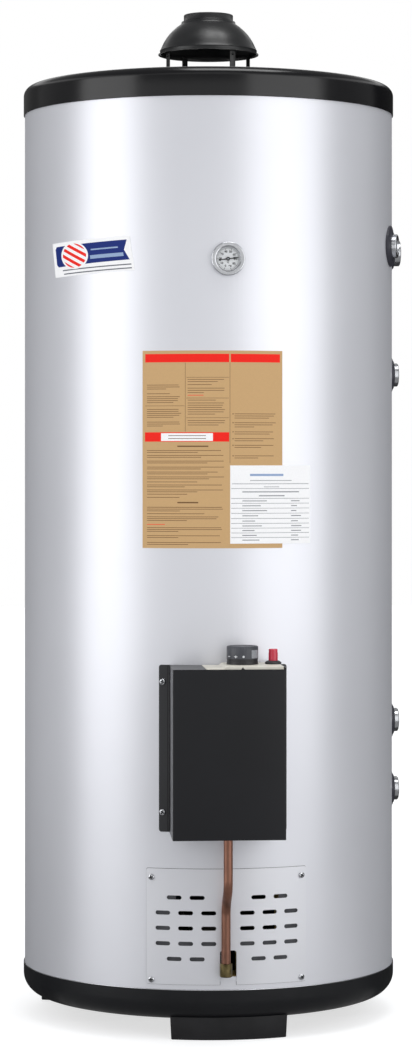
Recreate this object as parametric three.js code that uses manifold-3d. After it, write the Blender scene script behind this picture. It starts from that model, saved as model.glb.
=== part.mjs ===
// Gas storage water heater of about 200 litres, standing on three feet. Millimetres, +Z up.
// The origin is on the tank's axis at floor level. The front faces -Y, and an azimuth is counted
// from the front towards +X, so the side connections at 90 degrees look along +X.

import * as THREE from 'three';
import { mergeVertices } from 'three/addons/utils/BufferGeometryUtils.js';
import Module from 'manifold-3d';

const wasm = await Module();
wasm.setup();

// General clearances and counts
const seatGap = 0.3;
const runningGap = 0.4;
const cutOverrun = 2;
const mergeDistance = 0.0001;
const shellSides = 42;
const toolSides = 72;
const tankSides = 28;
const roundSides = 18;
const portSides = 16;
const smallSides = 8;
const hexSides = 6;
const cornerSteps = 3;
const innerCornerSteps = 2;
const outlineSteps = 2;

// Outer casing
const jacketRadius = 298;
const jacketSheet = 1.2;
const jacketShown = 1369;
const casingSheet = 1.5;
const casingFit = 0.5;
const foamFit = 2;
const baseBottom = 31;
const baseHeight = 48;
const baseCornerRadius = 32;
const lidHeight = 46;
const lidCornerRadius = 15;
const lidOverlap = 28;

// Feet, blocks that follow the rim
const footInset = 15;
const footDepth = 42;
const footHalfWidth = 91.3;
const footTaper = 1.8;
const footEndDraft = 5;
const footRise = 12;
const footAzimuths = [0.9, 128.5, 231.5];
const footNames = ['foot_front', 'foot_right', 'foot_left'];
const footArcSteps = 3;

// Tank, its heads and the skirt round the combustion chamber
const foamThickness = 58;
const tankWall = 3;
const tankTopDrop = 68;
const headFlange = 20;
const topHeadRise = 60;
const chamberHeight = 257.5;
const bottomHeadRise = 42;
const headSteps = 2;

// Flue and its baffle
const flueRadius = 40;
const flueWall = 2.5;
const flueStub = 25;
const baffleWidthShare = 0.667;
const baffleDepthShare = 0.427;
const baffleFoldHeight = 90;
const baffleFolds = 12;
const baffleSheet = 2;
const baffleHangerInset = 1;
const baffleHangerHeight = 5;

// Draught hood on its legs
const hoodRimHeight = 55;
const hoodHeight = 65;
const hoodRimRadius = 81.5;
const hoodCollarRadius = 40;
const hoodSheet = 1.2;
const hoodSides = 32;
const hoodRadiusShares = [0.94, 0.86, 0.677, 0.395, 0.027];
const hoodHeightShares = [0.02, 0.19, 0.4, 0.595, 0.76];
const hoodLedge = 3.8;
const hoodEdgeShare = 0.25;
const hoodLedgeHeightShare = 0.82;
const hoodCollarFootShare = 0.845;
const hoodCollarEdge = 1;
const hoodLegAzimuths = [25, 115, 205, 295];
const hoodLegWidth = 10;
const hoodLegSheet = 1.5;
const hoodLegTab = 14;
const hoodLegOverlap = 6.5;

// Sacrificial anode, hung from the top head under the lid
const anodeOffset = 135;
const anodeAzimuth = 250;
const anodeRadius = 9.5;
const anodeLength = 900;
const anodePlugRadius = 16;
const anodePlugDepth = 24;
const anodeHexRadius = 23;
const anodeHexHeight = 14;

// Side connections: sockets set through the tank wall, each with a rosette on the jacket
const socketBore = 12;
const socketRadius = 19;
const socketReach = 13;
const socketDepthInTank = 4;
const socketRim = 2;
const rosetteRadius = 29;
const rosetteRise = 5.5;
const rosetteEdge = 1.5;
const rosetteNeck = 4;
const rosetteShoulderShare = 0.62;
const hotRosetteRadius = 33;
const safetySocketRadius = 21;
const safetySocketReach = 16;
const socketHoleMargin = 3;
const sidePortAzimuth = 90;
const hotPortTurn = 18;
const hotPortDrop = 214;
const safetyPortDrop = 219;
const circulationPortSpacing = 199;
const coldPortRise = 275;
const returnPortSpacing = 112;

// Dial thermometer in a pocket of the tank
const dialDrop = 250;
const bezelRadius = 26;
const bezelRise = 6.5;
const bezelLip = 1.7;
const caseRadius = 23.7;
const caseWall = 1.2;
const caseDepth = 13;
const caseFloor = 2;
const dialLedge = 2.5;
const dialDepth = 4.3;
const dialThickness = 1;
const glassThickness = 2;
const spindleRadius = 1;
const spindleRise = 3;
const needleHubRadius = 2.6;
const needleThickness = 0.8;
const needleLength = 18.7;
const needleTail = 14;
const needleTipShare = 0.25;
const needleHalfWidth = 0.8;
const needleWeightRadius = 1.9;
const needleRestAngle = 7;
const stemRadius = 4;
const stemEndGap = 18.2;
const pocketRadius = 6.5;
const pocketWall = 1.8;
const pocketDepth = 50;
const pocketCollar = 10;
const pocketCollarHeight = 4;

// Burner cover plate on the jacket, and the opening behind it
const plateRise = 8.5;
const plateHeight = 177;
const plateHalfAngle = 24.35;
const plateSheet = 1.2;
const plateCornerRadius = 3;
const plateArcSteps = 6;
const plateScrewInsetAngle = 1.69;
const plateScrewInsetTop = 13.5;
const plateScrewInsetBottom = 6.5;
const slotLength = 23;
const slotHeight = 6.3;
const slotTopInset = 43.9;
const slotRows = 5;
const slotRowPitch = 23.5;
const slotsPerHalfRow = 3;
const slotFirstAngle = 5.7;
const slotStepAngle = 6.8;
const slotEndSteps = 1;
const notchLeft = -12.5;
const notchRight = 12.8;
const notchHeight = 52.5;
const notchCornerRadius = 4;
const openingHalfWidth = 80;
const openingTopInset = 30.5;
const openingHeight = 74;
const openingNeckHalf = 17;
const openingRise = 12.5;
const chamberReach = 120;

// Control cover, a folded sheet box open above and below, turned slightly off the front
const coverAzimuth = -1.3;
const coverHalfWidth = 85.3;
const coverProud = 107;
const coverRise = 242;
const coverHeight = 255.6;
const coverSheet = 1.2;
const coverBend = 2.5;
const coverFlange = 13;
const coverFlangeCorner = 4;
const coverFlapGap = 1.3;
const coverScrewInsetTop = 26;
const coverScrewInsetBottom = 30;
const coverBackGap = 6;

// Pan head screws
const screwHeadRadius = 4.8;
const screwHeadHeight = 2.6;
const screwShankRadius = 2;
const screwLength = 4.5;
const screwHeadSteps = 2;
const screwSides = 8;

// Gas control: body, moulded top, knob on its stem, igniter
const topCoverSideGap = 3.3;
const topCoverWidth = 116;
const topCoverStepWidth = 24;
const topCoverStepDrop = 3.5;
const topCoverRise = 4.4;
const topCoverWall = 3;
const topCoverFrontGap = 3;
const topCoverCorner = 2;
const valveTopDrop = 41;
const valveHeight = 100;
const valveCorner = 8;
const shankRise = 38;
const shankRadius = 14;
const shankInTank = 8;
const shankCentre = 24;
const probeRadius = 5;
const probeLength = 170;
const outletBossRadius = 12;
const outletBossHeight = 15;
const inletBossRadius = 15;
const inletBossHeight = 12;
const inletInset = 16;
const inletStandOff = 74;
const inletRadius = 11;
const inletBore = 8;
const inletLength = 34;
const knobInset = 57.5;
const knobStandOff = 47;
const knobRadius = 24;
const knobHeight = 23.5;
const knobPress = 4;
const knobRibs = 24;
const knobRibDepth = 0.8;
const knobRim = 2.5;
const knobStemRadius = 5;
const knobStemDepth = 20;
const knobStemInKnob = 17;
const stemFlat = 3.6;
const buttonInset = 10.7;
const buttonRadius = 7.1;
const buttonHeight = 23;
const buttonPress = 6;
const buttonGuide = 12;
const buttonEdge = 1.2;
const igniterCollarRadius = 12.6;
const igniterCollarHeight = 5;
const igniterRadius = 9;
const igniterLength = 34;
const springRoom = 2;

// Gas pipe from the control down to the burner
const pipeX = -4.4;
const pipeRadius = 7;
const pipeBore = 6;
const pipeStandOff = 43;
const pipeFootStandOff = 12;
const jogDrop = 83;
const jogHeight = 29;
const jogSoftness = 14;
const pipeSteps = 16;
const pipeSides = 8;
const nutRadius = 14;
const nutHeight = 20;
const elbowRadius = 9.5;
const elbowRise = 14;
const elbowDrop = 6.5;
const elbowLegRadius = 6.8;
const elbowEdge = 2;

// Burner on its bracket, with pilot and thermocouple
const burnerRadius = 95;
const burnerRimHeight = 17;
const burnerHeight = 56;
const bracketHeight = 57.5;
const burnerFootRadius = 32;
const burnerSlots = 12;
const burnerSlotLength = 38;
const burnerSlotWidth = 4;
const burnerSlotDepth = 4;
const burnerSlotRadius = 62;
const venturiRadius = 13;
const venturiRise = 18;
const venturiInset = 12;
const bracketHalfSpan = 60;
const bracketWidth = 40;
const bracketSheet = 3;
const pilotX = -42;
const pilotY = -74;
const pilotPlateLength = 34;
const pilotPlateWidth = 18;
const pilotPlateSheet = 2;
const pilotRadius = 5;
const pilotHeight = 24;
const thermocoupleRadius = 3;
const thermocoupleHeight = 34;
const thermocoupleCollar = 5;
const thermocoupleCollarHeight = 6;
const pilotSpacing = 16;

// Derived places that several pieces share
const rad = THREE.MathUtils.degToRad;
const quarterTurn = Math.PI / 2;
const casingRadius = jacketRadius + casingFit + casingSheet;
const baseTop = baseBottom + baseHeight;
const lidBottom = baseTop + jacketShown;
const lidTop = lidBottom + lidHeight;
const lidUnderside = lidTop - casingSheet;
const baseFloor = baseBottom + casingSheet;
const jacketBottom = baseBottom + baseCornerRadius + seatGap;
const jacketTop = lidBottom + lidOverlap;
const foamRadius = jacketRadius - jacketSheet - foamFit;
const footRadius = casingRadius - footInset;
const tankRadius = jacketRadius - foamThickness;
const tankTop = lidBottom - tankTopDrop;
const bottomHeadHeight = baseFloor + chamberHeight;
const headHole = (flueRadius + seatGap) / Math.cos(Math.PI / tankSides);
const tankInside = tankRadius - tankWall;
const flueTop = lidTop + flueStub;
const outerFace = jacketRadius + seatGap;
const dialHeight = lidBottom - dialDrop;
const plateBottom = baseTop + plateRise;
const plateTop = plateBottom + plateHeight;
const openingTop = plateTop - openingTopInset;
const openingShoulder = openingTop - openingHeight;
const openingBottom = plateBottom + openingRise;
const coverBottom = baseTop + coverRise;
const coverTop = coverBottom + coverHeight;
const coverFront = jacketRadius + coverProud;
const valveBack = jacketRadius + coverBackGap;
const valveFront = coverFront - coverSheet - topCoverFrontGap;
const topCoverRight = coverHalfWidth - topCoverSideGap;
const topCoverLeft = topCoverRight - topCoverWidth;
const topCoverStepX = topCoverLeft + topCoverStepWidth;
const topCoverTop = coverTop + topCoverRise;
const topCoverStepTop = topCoverTop - topCoverStepDrop;
const valveTop = topCoverTop - valveTopDrop;
const valveBottom = valveTop - valveHeight;
const shankHeight = valveBottom + shankRise;
const inletX = topCoverLeft + inletInset;
const inletY = jacketRadius + inletStandOff;
const knobX = topCoverRight - knobInset;
const knobY = jacketRadius + knobStandOff;
const knobStemBottom = valveTop - knobStemDepth;
const buttonX = topCoverRight - buttonInset;
const buttonTop = topCoverTop + buttonHeight;
const pipeOuterY = jacketRadius + pipeStandOff;
const pipeInnerY = jacketRadius + pipeFootStandOff;
const jogTop = coverBottom - jogDrop;
const jogBottom = jogTop - jogHeight;
const burnerFoot = baseFloor + bracketHeight;
const burnerTop = burnerFoot + burnerHeight;
const elbowHeight = burnerFoot + venturiRise;
const elbowTop = elbowHeight + elbowRise;
const elbowBottom = elbowHeight - elbowDrop;
const venturiMouth = tankRadius - venturiInset;
const tankBottom = baseFloor + seatGap;
const bezelFace = jacketRadius + bezelRise;
const dialDepthInCase = bezelLip + glassThickness + dialDepth + seatGap + dialThickness;
const dialLedgePlace = bezelFace - dialDepthInCase;
const pipeHole = (pipeRadius + seatGap) / Math.cos(Math.PI / pipeSides);
const elbowFloor = elbowHeight + elbowLegRadius + seatGap;

const safetyPortHeight = lidBottom - safetyPortDrop;
const coldPortHeight = baseTop + coldPortRise;
const sidePort = { azimuth: sidePortAzimuth, radius: socketRadius, reach: socketReach,
  rosette: rosetteRadius };
const ports = [
  { ...sidePort, azimuth: sidePortAzimuth - hotPortTurn, height: lidBottom - hotPortDrop,
    rosette: hotRosetteRadius },
  { ...sidePort, height: safetyPortHeight, radius: safetySocketRadius,
    reach: safetySocketReach },
  { ...sidePort, height: safetyPortHeight - circulationPortSpacing },
  { ...sidePort, height: coldPortHeight + returnPortSpacing },
  { ...sidePort, height: coldPortHeight },
];

// A closed three.js geometry as a solid whose faces point out.
function solidOf(geometry) {
  const bare = geometry.clone();
  bare.deleteAttribute('normal');
  bare.deleteAttribute('uv');
  const merged = mergeVertices(bare, mergeDistance);
  const position = merged.attributes.position;
  const index = merged.index.array;
  const faces = [];
  let volume = 0;
  const [a, b, c] = [new THREE.Vector3(), new THREE.Vector3(), new THREE.Vector3()];
  for (let i = 0; i < index.length; i += 3) {
    const [p, q, r] = [index[i], index[i + 1], index[i + 2]];
    if (p === q || q === r || r === p) continue;
    faces.push(p, q, r);
    a.fromBufferAttribute(position, p);
    b.fromBufferAttribute(position, q);
    c.fromBufferAttribute(position, r);
    volume += a.dot(b.cross(c));
  }
  if (volume < 0) faces.reverse();
  return new wasm.Manifold(new wasm.Mesh({
    numProp: 3,
    vertProperties: new Float32Array(position.array),
    triVerts: new Uint32Array(faces),
  }));
}

function join(solids) {
  return solids.reduce((whole, solid) => whole.add(solid));
}

function cut(solid, tools) {
  return tools.reduce((rest, tool) => rest.subtract(tool), solid);
}

function part(name, solid, color, roughness, metalness) {
  const { vertProperties, triVerts } = solid.getMesh();
  const geometry = new THREE.BufferGeometry();
  geometry.setAttribute('position', new THREE.Float32BufferAttribute(vertProperties, 3));
  geometry.setIndex(new THREE.Uint32BufferAttribute(triVerts, 1));
  geometry.computeVertexNormals();
  const material = new THREE.MeshStandardMaterial({ color, roughness, metalness });
  const mesh = new THREE.Mesh(geometry, material);
  mesh.name = name;
  return mesh;
}

// A profile of [radius, height] points turned about the Z axis.
function lathe(profile, sides) {
  const points = profile.map(([radius, height]) => new THREE.Vector2(radius, height));
  if (profile[0][0] > 0) points.push(points[0].clone());
  return new THREE.LatheGeometry(points, sides).rotateX(quarterTurn);
}

function rod(radius, from, to, sides) {
  return lathe([[0, from], [radius, from], [radius, to], [0, to]], sides);
}

function tube(outer, inner, from, to, sides) {
  return lathe([[outer, from], [outer, to], [inner, to], [inner, from]], sides);
}

// Lays a shape that stands on +Z outwards along -Y.
function outward(geometry) {
  return geometry.rotateX(quarterTurn);
}

// Lays a shape that stands on +Z outwards at an azimuth and a height.
function radial(geometry, azimuth, height) {
  return outward(geometry).rotateZ(rad(azimuth)).translate(0, 0, height);
}

// Extrudes an outline of the front view, X across and Y up, from one distance to another.
function frontPrism(shape, near, far, curveSteps) {
  const options = { depth: far - near, bevelEnabled: false, curveSegments: curveSteps };
  return new THREE.ExtrudeGeometry(shape, options).rotateX(quarterTurn).translate(0, -near, 0);
}

// Extrudes an outline of the plan view upwards.
function planPrism(shape, from, to, curveSteps) {
  const options = { depth: to - from, bevelEnabled: false, curveSegments: curveSteps };
  return new THREE.ExtrudeGeometry(shape, options).translate(0, 0, from);
}

function block(left, right, front, back, bottom, top) {
  const box = new THREE.BoxGeometry(right - left, back - front, top - bottom);
  return box.translate((left + right) / 2, (front + back) / 2, (bottom + top) / 2);
}

function roundedRectangle(left, right, bottom, top, radius) {
  const shape = new THREE.Shape();
  shape.moveTo(left + radius, bottom);
  shape.lineTo(right - radius, bottom);
  shape.absarc(right - radius, bottom + radius, radius, -quarterTurn, 0, false);
  shape.lineTo(right, top - radius);
  shape.absarc(right - radius, top - radius, radius, 0, quarterTurn, false);
  shape.lineTo(left + radius, top);
  shape.absarc(left + radius, top - radius, radius, quarterTurn, Math.PI, false);
  shape.lineTo(left, bottom + radius);
  shape.absarc(left + radius, bottom + radius, radius, Math.PI, Math.PI + quarterTurn, false);
  return shape;
}

// Points of a quarter round, from one angle to another, about a centre.
function roundCorner(centreRadius, centreHeight, radius, from, to, steps) {
  const points = [];
  for (let i = 0; i <= steps; i += 1) {
    const angle = from + (to - from) * i / steps;
    const out = centreRadius + radius * Math.cos(angle);
    points.push([out, centreHeight + radius * Math.sin(angle)]);
  }
  return points;
}

// A sector of a ring in plan, centred on the front, as an outline for extrusion.
function ringSector(outer, inner, halfAngle) {
  const shape = new THREE.Shape();
  const start = -quarterTurn - halfAngle;
  const end = -quarterTurn + halfAngle;
  shape.absarc(0, 0, outer, start, end, false);
  shape.absarc(0, 0, inner, end, start, true);
  return shape;
}

function radialGroup(azimuth, height, parts) {
  const group = new THREE.Group();
  group.rotation.z = rad(azimuth);
  group.position.z = height;
  group.add(...parts);
  return group;
}

// The outer surface of the base, grown by a clearance, as a closed profile down to the axis.
function baseProfile(grow) {
  const radius = baseCornerRadius + grow;
  const centre = casingRadius - baseCornerRadius;
  const corner = roundCorner(centre, baseBottom + baseCornerRadius, radius, -quarterTurn, 0,
    cornerSteps);
  return [[0, baseBottom - grow], ...corner];
}

function basePan() {
  const inner = baseProfile(-casingSheet).reverse();
  const rim = [[casingRadius, baseTop], [casingRadius - casingSheet, baseTop]];
  return solidOf(lathe([...baseProfile(0), ...rim, ...inner], shellSides));
}

function foot() {
  const shape = new THREE.Shape();
  const halfAngle = Math.asin(footHalfWidth / footRadius);
  const inner = footRadius - footDepth;
  const innerHalf = Math.asin((footHalfWidth - footEndDraft) / inner);
  shape.absarc(0, 0, footRadius, -quarterTurn - halfAngle, -quarterTurn + halfAngle, false);
  shape.absarc(0, 0, inner, -quarterTurn + innerHalf, -quarterTurn - innerHalf, true);
  const top = baseBottom + footRise;
  const body = planPrism(shape, 0, top, footArcSteps);
  const position = body.attributes.position;
  for (let i = 0; i < position.count; i += 1) {
    const drop = 1 - position.getZ(i) / top;
    const x = position.getX(i);
    position.setX(i, x * (1 - drop * footTaper / footHalfWidth));
  }
  const corner = baseProfile(seatGap);
  const above = [[casingRadius + seatGap, top + cutOverrun], [0, top + cutOverrun]];
  return solidOf(body).subtract(solidOf(lathe([...corner, ...above], shellSides)));
}

// The hand-sized way to the burner, cut through the jacket, the foam and the tank's skirt.
function burnerOpening(grow) {
  const shape = new THREE.Shape();
  shape.moveTo(-openingNeckHalf - grow, openingBottom - grow);
  shape.lineTo(openingNeckHalf + grow, openingBottom - grow);
  shape.lineTo(openingNeckHalf + grow, openingShoulder - grow);
  shape.lineTo(openingHalfWidth + grow, openingShoulder - grow);
  shape.lineTo(openingHalfWidth + grow, openingTop + grow);
  shape.lineTo(-openingHalfWidth - grow, openingTop + grow);
  shape.lineTo(-openingHalfWidth - grow, openingShoulder - grow);
  shape.lineTo(-openingNeckHalf - grow, openingShoulder - grow);
  const near = tankRadius - chamberReach;
  return solidOf(frontPrism(shape, near, jacketRadius + cutOverrun, 1));
}

function portHoles(margin, sides) {
  return ports.map((port) => {
    const hole = rod(port.radius + margin, tankRadius / 2, casingRadius, sides);
    return solidOf(radial(hole, port.azimuth, port.height));
  });
}

function screwPlaces() {
  const plateScrewAngle = plateHalfAngle - plateScrewInsetAngle;
  const plateAngles = [-plateScrewAngle, plateScrewAngle];
  const plateHeights = [plateTop - plateScrewInsetTop, plateBottom + plateScrewInsetBottom];
  const flangeMiddle = (coverHalfWidth + coverHalfWidth + coverFlange) / 2;
  const coverAngle = THREE.MathUtils.radToDeg(Math.asin(flangeMiddle / jacketRadius));
  const coverAngles = [coverAzimuth - coverAngle, coverAzimuth + coverAngle];
  const coverHeights = [coverTop - coverScrewInsetTop, coverBottom + coverScrewInsetBottom];
  const vent = plateHeights.flatMap((height) => plateAngles.map((azimuth) => (
    { azimuth, height, sheet: plateSheet })));
  const cover = coverHeights.flatMap((height) => coverAngles.map((azimuth) => (
    { azimuth, height, sheet: coverSheet })));
  return { vent, cover };
}

function screwHoles(places) {
  return places.map(({ azimuth, height }) => {
    const from = jacketRadius - screwLength - cutOverrun;
    const hole = rod(screwShankRadius + seatGap, from, coverFront, screwSides);
    return solidOf(radial(hole, azimuth, height));
  });
}

function shankHole(margin) {
  const hole = rod(shankRadius + margin, tankRadius / 2, casingRadius, roundSides);
  const turned = outward(hole).translate(shankCentre, 0, 0).rotateZ(rad(coverAzimuth));
  return solidOf(turned.translate(0, 0, shankHeight));
}

function jacket() {
  const wall = tube(jacketRadius, jacketRadius - jacketSheet, jacketBottom, jacketTop, shellSides);
  const dialHole = rod(caseRadius + seatGap, tankRadius, casingRadius, roundSides);
  const { vent, cover } = screwPlaces();
  return cut(solidOf(wall), [
    burnerOpening(0), ...portHoles(socketHoleMargin, smallSides), shankHole(socketHoleMargin),
    solidOf(radial(dialHole, 0, dialHeight)), ...screwHoles([...vent, ...cover]),
  ]);
}

function topLid() {
  const centre = casingRadius - lidCornerRadius;
  const level = lidTop - lidCornerRadius;
  const hole = (flueRadius + runningGap) / Math.cos(Math.PI / shellSides);
  const outer = roundCorner(centre, level, lidCornerRadius, 0, quarterTurn, cornerSteps);
  const inner = roundCorner(centre, level, lidCornerRadius - casingSheet, quarterTurn, 0,
    innerCornerSteps);
  return solidOf(lathe([
    [casingRadius, lidBottom], ...outer, [hole, lidTop],
    [hole, lidUnderside], ...inner, [casingRadius - casingSheet, lidBottom],
  ], shellSides));
}

// Heights of a domed head over its radius, from its rim in to the flue.
function domeProfile(rimRadius, rimHeight, rise, offset, innerRadius) {
  const sphere = (rimRadius * rimRadius + rise * rise) / (2 * rise);
  const centre = rimHeight + rise - sphere;
  const points = [];
  for (let i = 0; i <= headSteps; i += 1) {
    const radius = rimRadius + (innerRadius - rimRadius) * i / headSteps;
    points.push([radius, centre + Math.sqrt(sphere * sphere - radius * radius) + offset]);
  }
  return points;
}

function headSolid(rimHeight, rise) {
  const rim = tankInside - seatGap;
  const outer = domeProfile(rim, rimHeight, rise, 0, headHole);
  const inner = domeProfile(rim - tankWall, rimHeight, rise, -tankWall, headHole).reverse();
  const flange = rimHeight - headFlange;
  const profile = [[rim, flange], ...outer, ...inner, [rim - tankWall, flange]];
  return solidOf(lathe(profile, tankSides));
}

function anodePlace(geometry) {
  return geometry.translate(0, -anodeOffset, 0).rotateZ(rad(anodeAzimuth));
}

function anodeSeatHeight() {
  const rim = tankInside - seatGap;
  const sphere = (rim * rim + topHeadRise * topHeadRise) / (2 * topHeadRise);
  const centre = tankTop + topHeadRise - sphere;
  return centre + Math.sqrt(sphere * sphere - (anodeOffset - anodeHexRadius) ** 2) + seatGap;
}

function topHead() {
  const plug = rod(anodePlugRadius + seatGap, tankTop - headFlange, lidBottom, roundSides);
  return headSolid(tankTop, topHeadRise).subtract(solidOf(anodePlace(plug)));
}

function tankShell() {
  const wall = tube(tankRadius, tankInside, tankBottom, tankTop, tankSides);
  const pocket = rod(pocketRadius + seatGap, tankRadius / 2, casingRadius, smallSides);
  return cut(solidOf(wall), [
    burnerOpening(0), ...portHoles(seatGap, portSides), shankHole(seatGap),
    solidOf(radial(pocket, 0, dialHeight)),
  ]);
}

function foam() {
  const bottom = baseBottom + baseCornerRadius;
  const inner = tankRadius + seatGap;
  const cornerRadius = casingRadius - lidCornerRadius - seatGap;
  const top = lidUnderside - seatGap;
  const over = domeProfile(inner, tankTop + seatGap, topHeadRise, tankWall, headHole);
  const profile = [
    [foamRadius, bottom], [foamRadius, jacketTop], [cornerRadius, top],
    [headHole, top], ...over.reverse(), [inner, bottom],
  ];
  const seat = anodeSeatHeight();
  const hexTop = seat + anodeHexHeight + seatGap;
  const hexHole = rod(anodeHexRadius + seatGap, tankTop, hexTop, hexSides);
  const well = jacketRadius - caseDepth - seatGap;
  const dialWell = rod(caseRadius + seatGap, well, casingRadius, roundSides);
  const stemHole = rod(pocketCollar + seatGap, tankRadius - tankWall, casingRadius, smallSides);
  return cut(solidOf(lathe(profile, tankSides)), [
    burnerOpening(seatGap), ...portHoles(socketHoleMargin, smallSides), shankHole(seatGap),
    solidOf(anodePlace(hexHole)), solidOf(radial(dialWell, 0, dialHeight)),
    solidOf(radial(stemHole, 0, dialHeight)),
  ]);
}

function flueTube() {
  const rim = tankInside - seatGap;
  const sphere = (rim * rim + bottomHeadRise * bottomHeadRise) / (2 * bottomHeadRise);
  const lower = bottomHeadHeight + bottomHeadRise - sphere
    + Math.sqrt(sphere * sphere - flueRadius * flueRadius) - tankWall;
  return solidOf(tube(flueRadius, flueRadius - flueWall, lower, flueTop, roundSides));
}

// A strip folded to and fro down the flue, hung by a cross bar on the flue's top edge.
function flueBaffle() {
  const right = [];
  const left = [];
  const half = baffleSheet / 2;
  const start = flueTop + seatGap;
  const bore = flueRadius - flueWall;
  for (let i = 0; i <= baffleFolds; i += 1) {
    const swing = bore * baffleDepthShare * Math.round(Math.sin(quarterTurn * i));
    const height = start - i * baffleFoldHeight;
    right.push([swing + half, height]);
    left.push([swing - half, height]);
  }
  const shape = new THREE.Shape([...right, ...left.reverse()].map(([x, y]) => (
    new THREE.Vector2(x, y))));
  const side = bore * baffleWidthShare;
  const strip = frontPrism(shape, -side, side, 1);
  const reach = flueRadius - baffleHangerInset;
  const hanger = block(-half, half, -reach, reach, start, start + baffleHangerHeight);
  return join([solidOf(strip), solidOf(hanger)]);
}

function hoodOutline(inset) {
  const ledge = hoodCollarRadius + hoodLedge;
  const points = [[hoodRimRadius - inset, 0]];
  hoodRadiusShares.forEach((share, i) => {
    const radius = ledge + (hoodRimRadius - ledge) * share;
    points.push([radius - inset, hoodHeight * hoodHeightShares[i]]);
  });
  points.push([ledge - inset, hoodHeight * hoodLedgeHeightShare]);
  points.push([hoodCollarRadius - inset, hoodHeight * hoodCollarFootShare]);
  return points;
}

function draughtHood() {
  const outer = hoodOutline(0);
  outer.push([hoodCollarRadius, hoodHeight - hoodCollarEdge]);
  outer.push([hoodCollarRadius - hoodCollarEdge * hoodEdgeShare, hoodHeight]);
  const inner = hoodOutline(hoodSheet);
  inner.push([hoodCollarRadius - hoodSheet - hoodCollarEdge * hoodEdgeShare, hoodHeight]);
  return solidOf(lathe([...outer, ...inner.reverse()], hoodSides));
}

// The skirt's clear radius inside, at a height above its rim.
function skirtInside(height) {
  const points = hoodOutline(hoodSheet);
  const above = points.findIndex((point) => point[1] > height);
  const [lower, upper] = [points[above - 1], points[above]];
  const share = (height - lower[1]) / (upper[1] - lower[1]);
  const radius = lower[0] + (upper[0] - lower[0]) * share;
  return radius * Math.cos(Math.PI / hoodSides) - seatGap;
}

// A flat strip up to the inside of the skirt, with a tab that lies on the lid.
function hoodLeg() {
  const outer = Math.sqrt(skirtInside(hoodLegOverlap) ** 2 - (hoodLegWidth / 2) ** 2);
  const inner = outer - hoodLegSheet;
  const profile = [
    [outer, seatGap], [outer, hoodRimHeight + hoodLegOverlap],
    [inner, hoodRimHeight + hoodLegOverlap], [inner, hoodLegSheet + seatGap],
    [inner - hoodLegTab, hoodLegSheet + seatGap], [inner - hoodLegTab, seatGap],
  ];
  const shape = new THREE.Shape(profile.map(([x, y]) => new THREE.Vector2(x, y)));
  const strip = frontPrism(shape, -hoodLegWidth / 2, hoodLegWidth / 2, 1);
  return solidOf(strip.rotateZ(-quarterTurn));
}

function hood() {
  const group = new THREE.Group();
  group.position.z = lidTop;
  const cap = part('draft_hood', draughtHood(), 0x2a2c2e, 0.45, 0.3);
  cap.position.z = hoodRimHeight;
  const legs = hoodLegAzimuths.map((azimuth, i) => {
    const leg = part(`hood_leg_${i + 1}`, hoodLeg(), 0x1b1c1e, 0.5, 0.4);
    leg.rotation.z = rad(azimuth);
    return leg;
  });
  group.add(cap, ...legs);
  return group;
}

function anode() {
  const seat = anodeSeatHeight();
  const plug = join([
    solidOf(rod(anodePlugRadius, -anodePlugDepth, anodeHexHeight / 2, roundSides)),
    solidOf(rod(anodeHexRadius, 0, anodeHexHeight, hexSides)),
  ]);
  const from = -anodePlugDepth - seatGap;
  const bar = solidOf(rod(anodeRadius, from - anodeLength, from, smallSides));
  const pieces = [
    part('anode_cap', plug, 0xa9a69c, 0.4, 0.9),
    part('anode_rod', bar, 0x9ea2a5, 0.6, 0.8),
  ];
  pieces.forEach((piece) => piece.position.set(0, -anodeOffset, 0));
  return radialGroup(anodeAzimuth, seat, pieces);
}

function socket(port) {
  const outer = jacketRadius + port.reach;
  const inner = tankInside - socketDepthInTank;
  return solidOf(outward(lathe([
    [port.radius, inner], [port.radius, outer - socketRim / 2],
    [port.radius - socketRim / 2, outer], [socketBore, outer], [socketBore, inner],
  ], portSides)));
}

function rosette(port) {
  const bore = port.radius + seatGap;
  const foot = jacketRadius - cutOverrun;
  const shoulder = rosetteEdge + (rosetteRise - rosetteEdge) * rosetteShoulderShare;
  const shape = outward(lathe([
    [port.rosette, foot], [port.rosette, jacketRadius + rosetteEdge],
    [(port.rosette + bore) / 2, jacketRadius + shoulder],
    [bore + rosetteNeck, jacketRadius + rosetteRise], [bore, jacketRadius + rosetteRise],
    [bore, foot],
  ], portSides));
  const facetRadius = outerFace / Math.cos(Math.PI / toolSides);
  const casing = rod(facetRadius, -casingRadius, casingRadius, toolSides);
  return solidOf(shape).subtract(solidOf(casing));
}

function connections() {
  return ports.map((port, i) => radialGroup(port.azimuth, port.height, [
    part(`port_socket_${i + 1}`, socket(port), 0xb9bcc0, 0.3, 1),
    part(`port_rosette_${i + 1}`, rosette(port), 0x26262c, 0.5, 0),
  ]));
}

function thermometerCase() {
  const back = jacketRadius - caseDepth;
  const tip = tankInside - pocketDepth + pocketWall + stemEndGap;
  const face = bezelFace;
  const bore = caseRadius - caseWall;
  const ledge = dialLedgePlace;
  const floor = back + caseFloor;
  return join([
    solidOf(outward(lathe([
      [0, back], [caseRadius, back], [caseRadius, outerFace], [bezelRadius, outerFace],
      [bezelRadius, face - bezelLip], [bezelRadius - bezelLip, face],
      [bore - bezelLip, face], [bore - bezelLip, face - bezelLip], [bore, face - bezelLip],
      [bore, ledge], [bore - dialLedge, ledge], [bore - dialLedge, floor],
      [spindleRadius, floor], [spindleRadius, ledge + dialThickness + spindleRise],
      [0, ledge + dialThickness + spindleRise],
    ], roundSides))),
    solidOf(outward(rod(stemRadius, tip, back + caseFloor / 2, smallSides))),
  ]);
}

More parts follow.
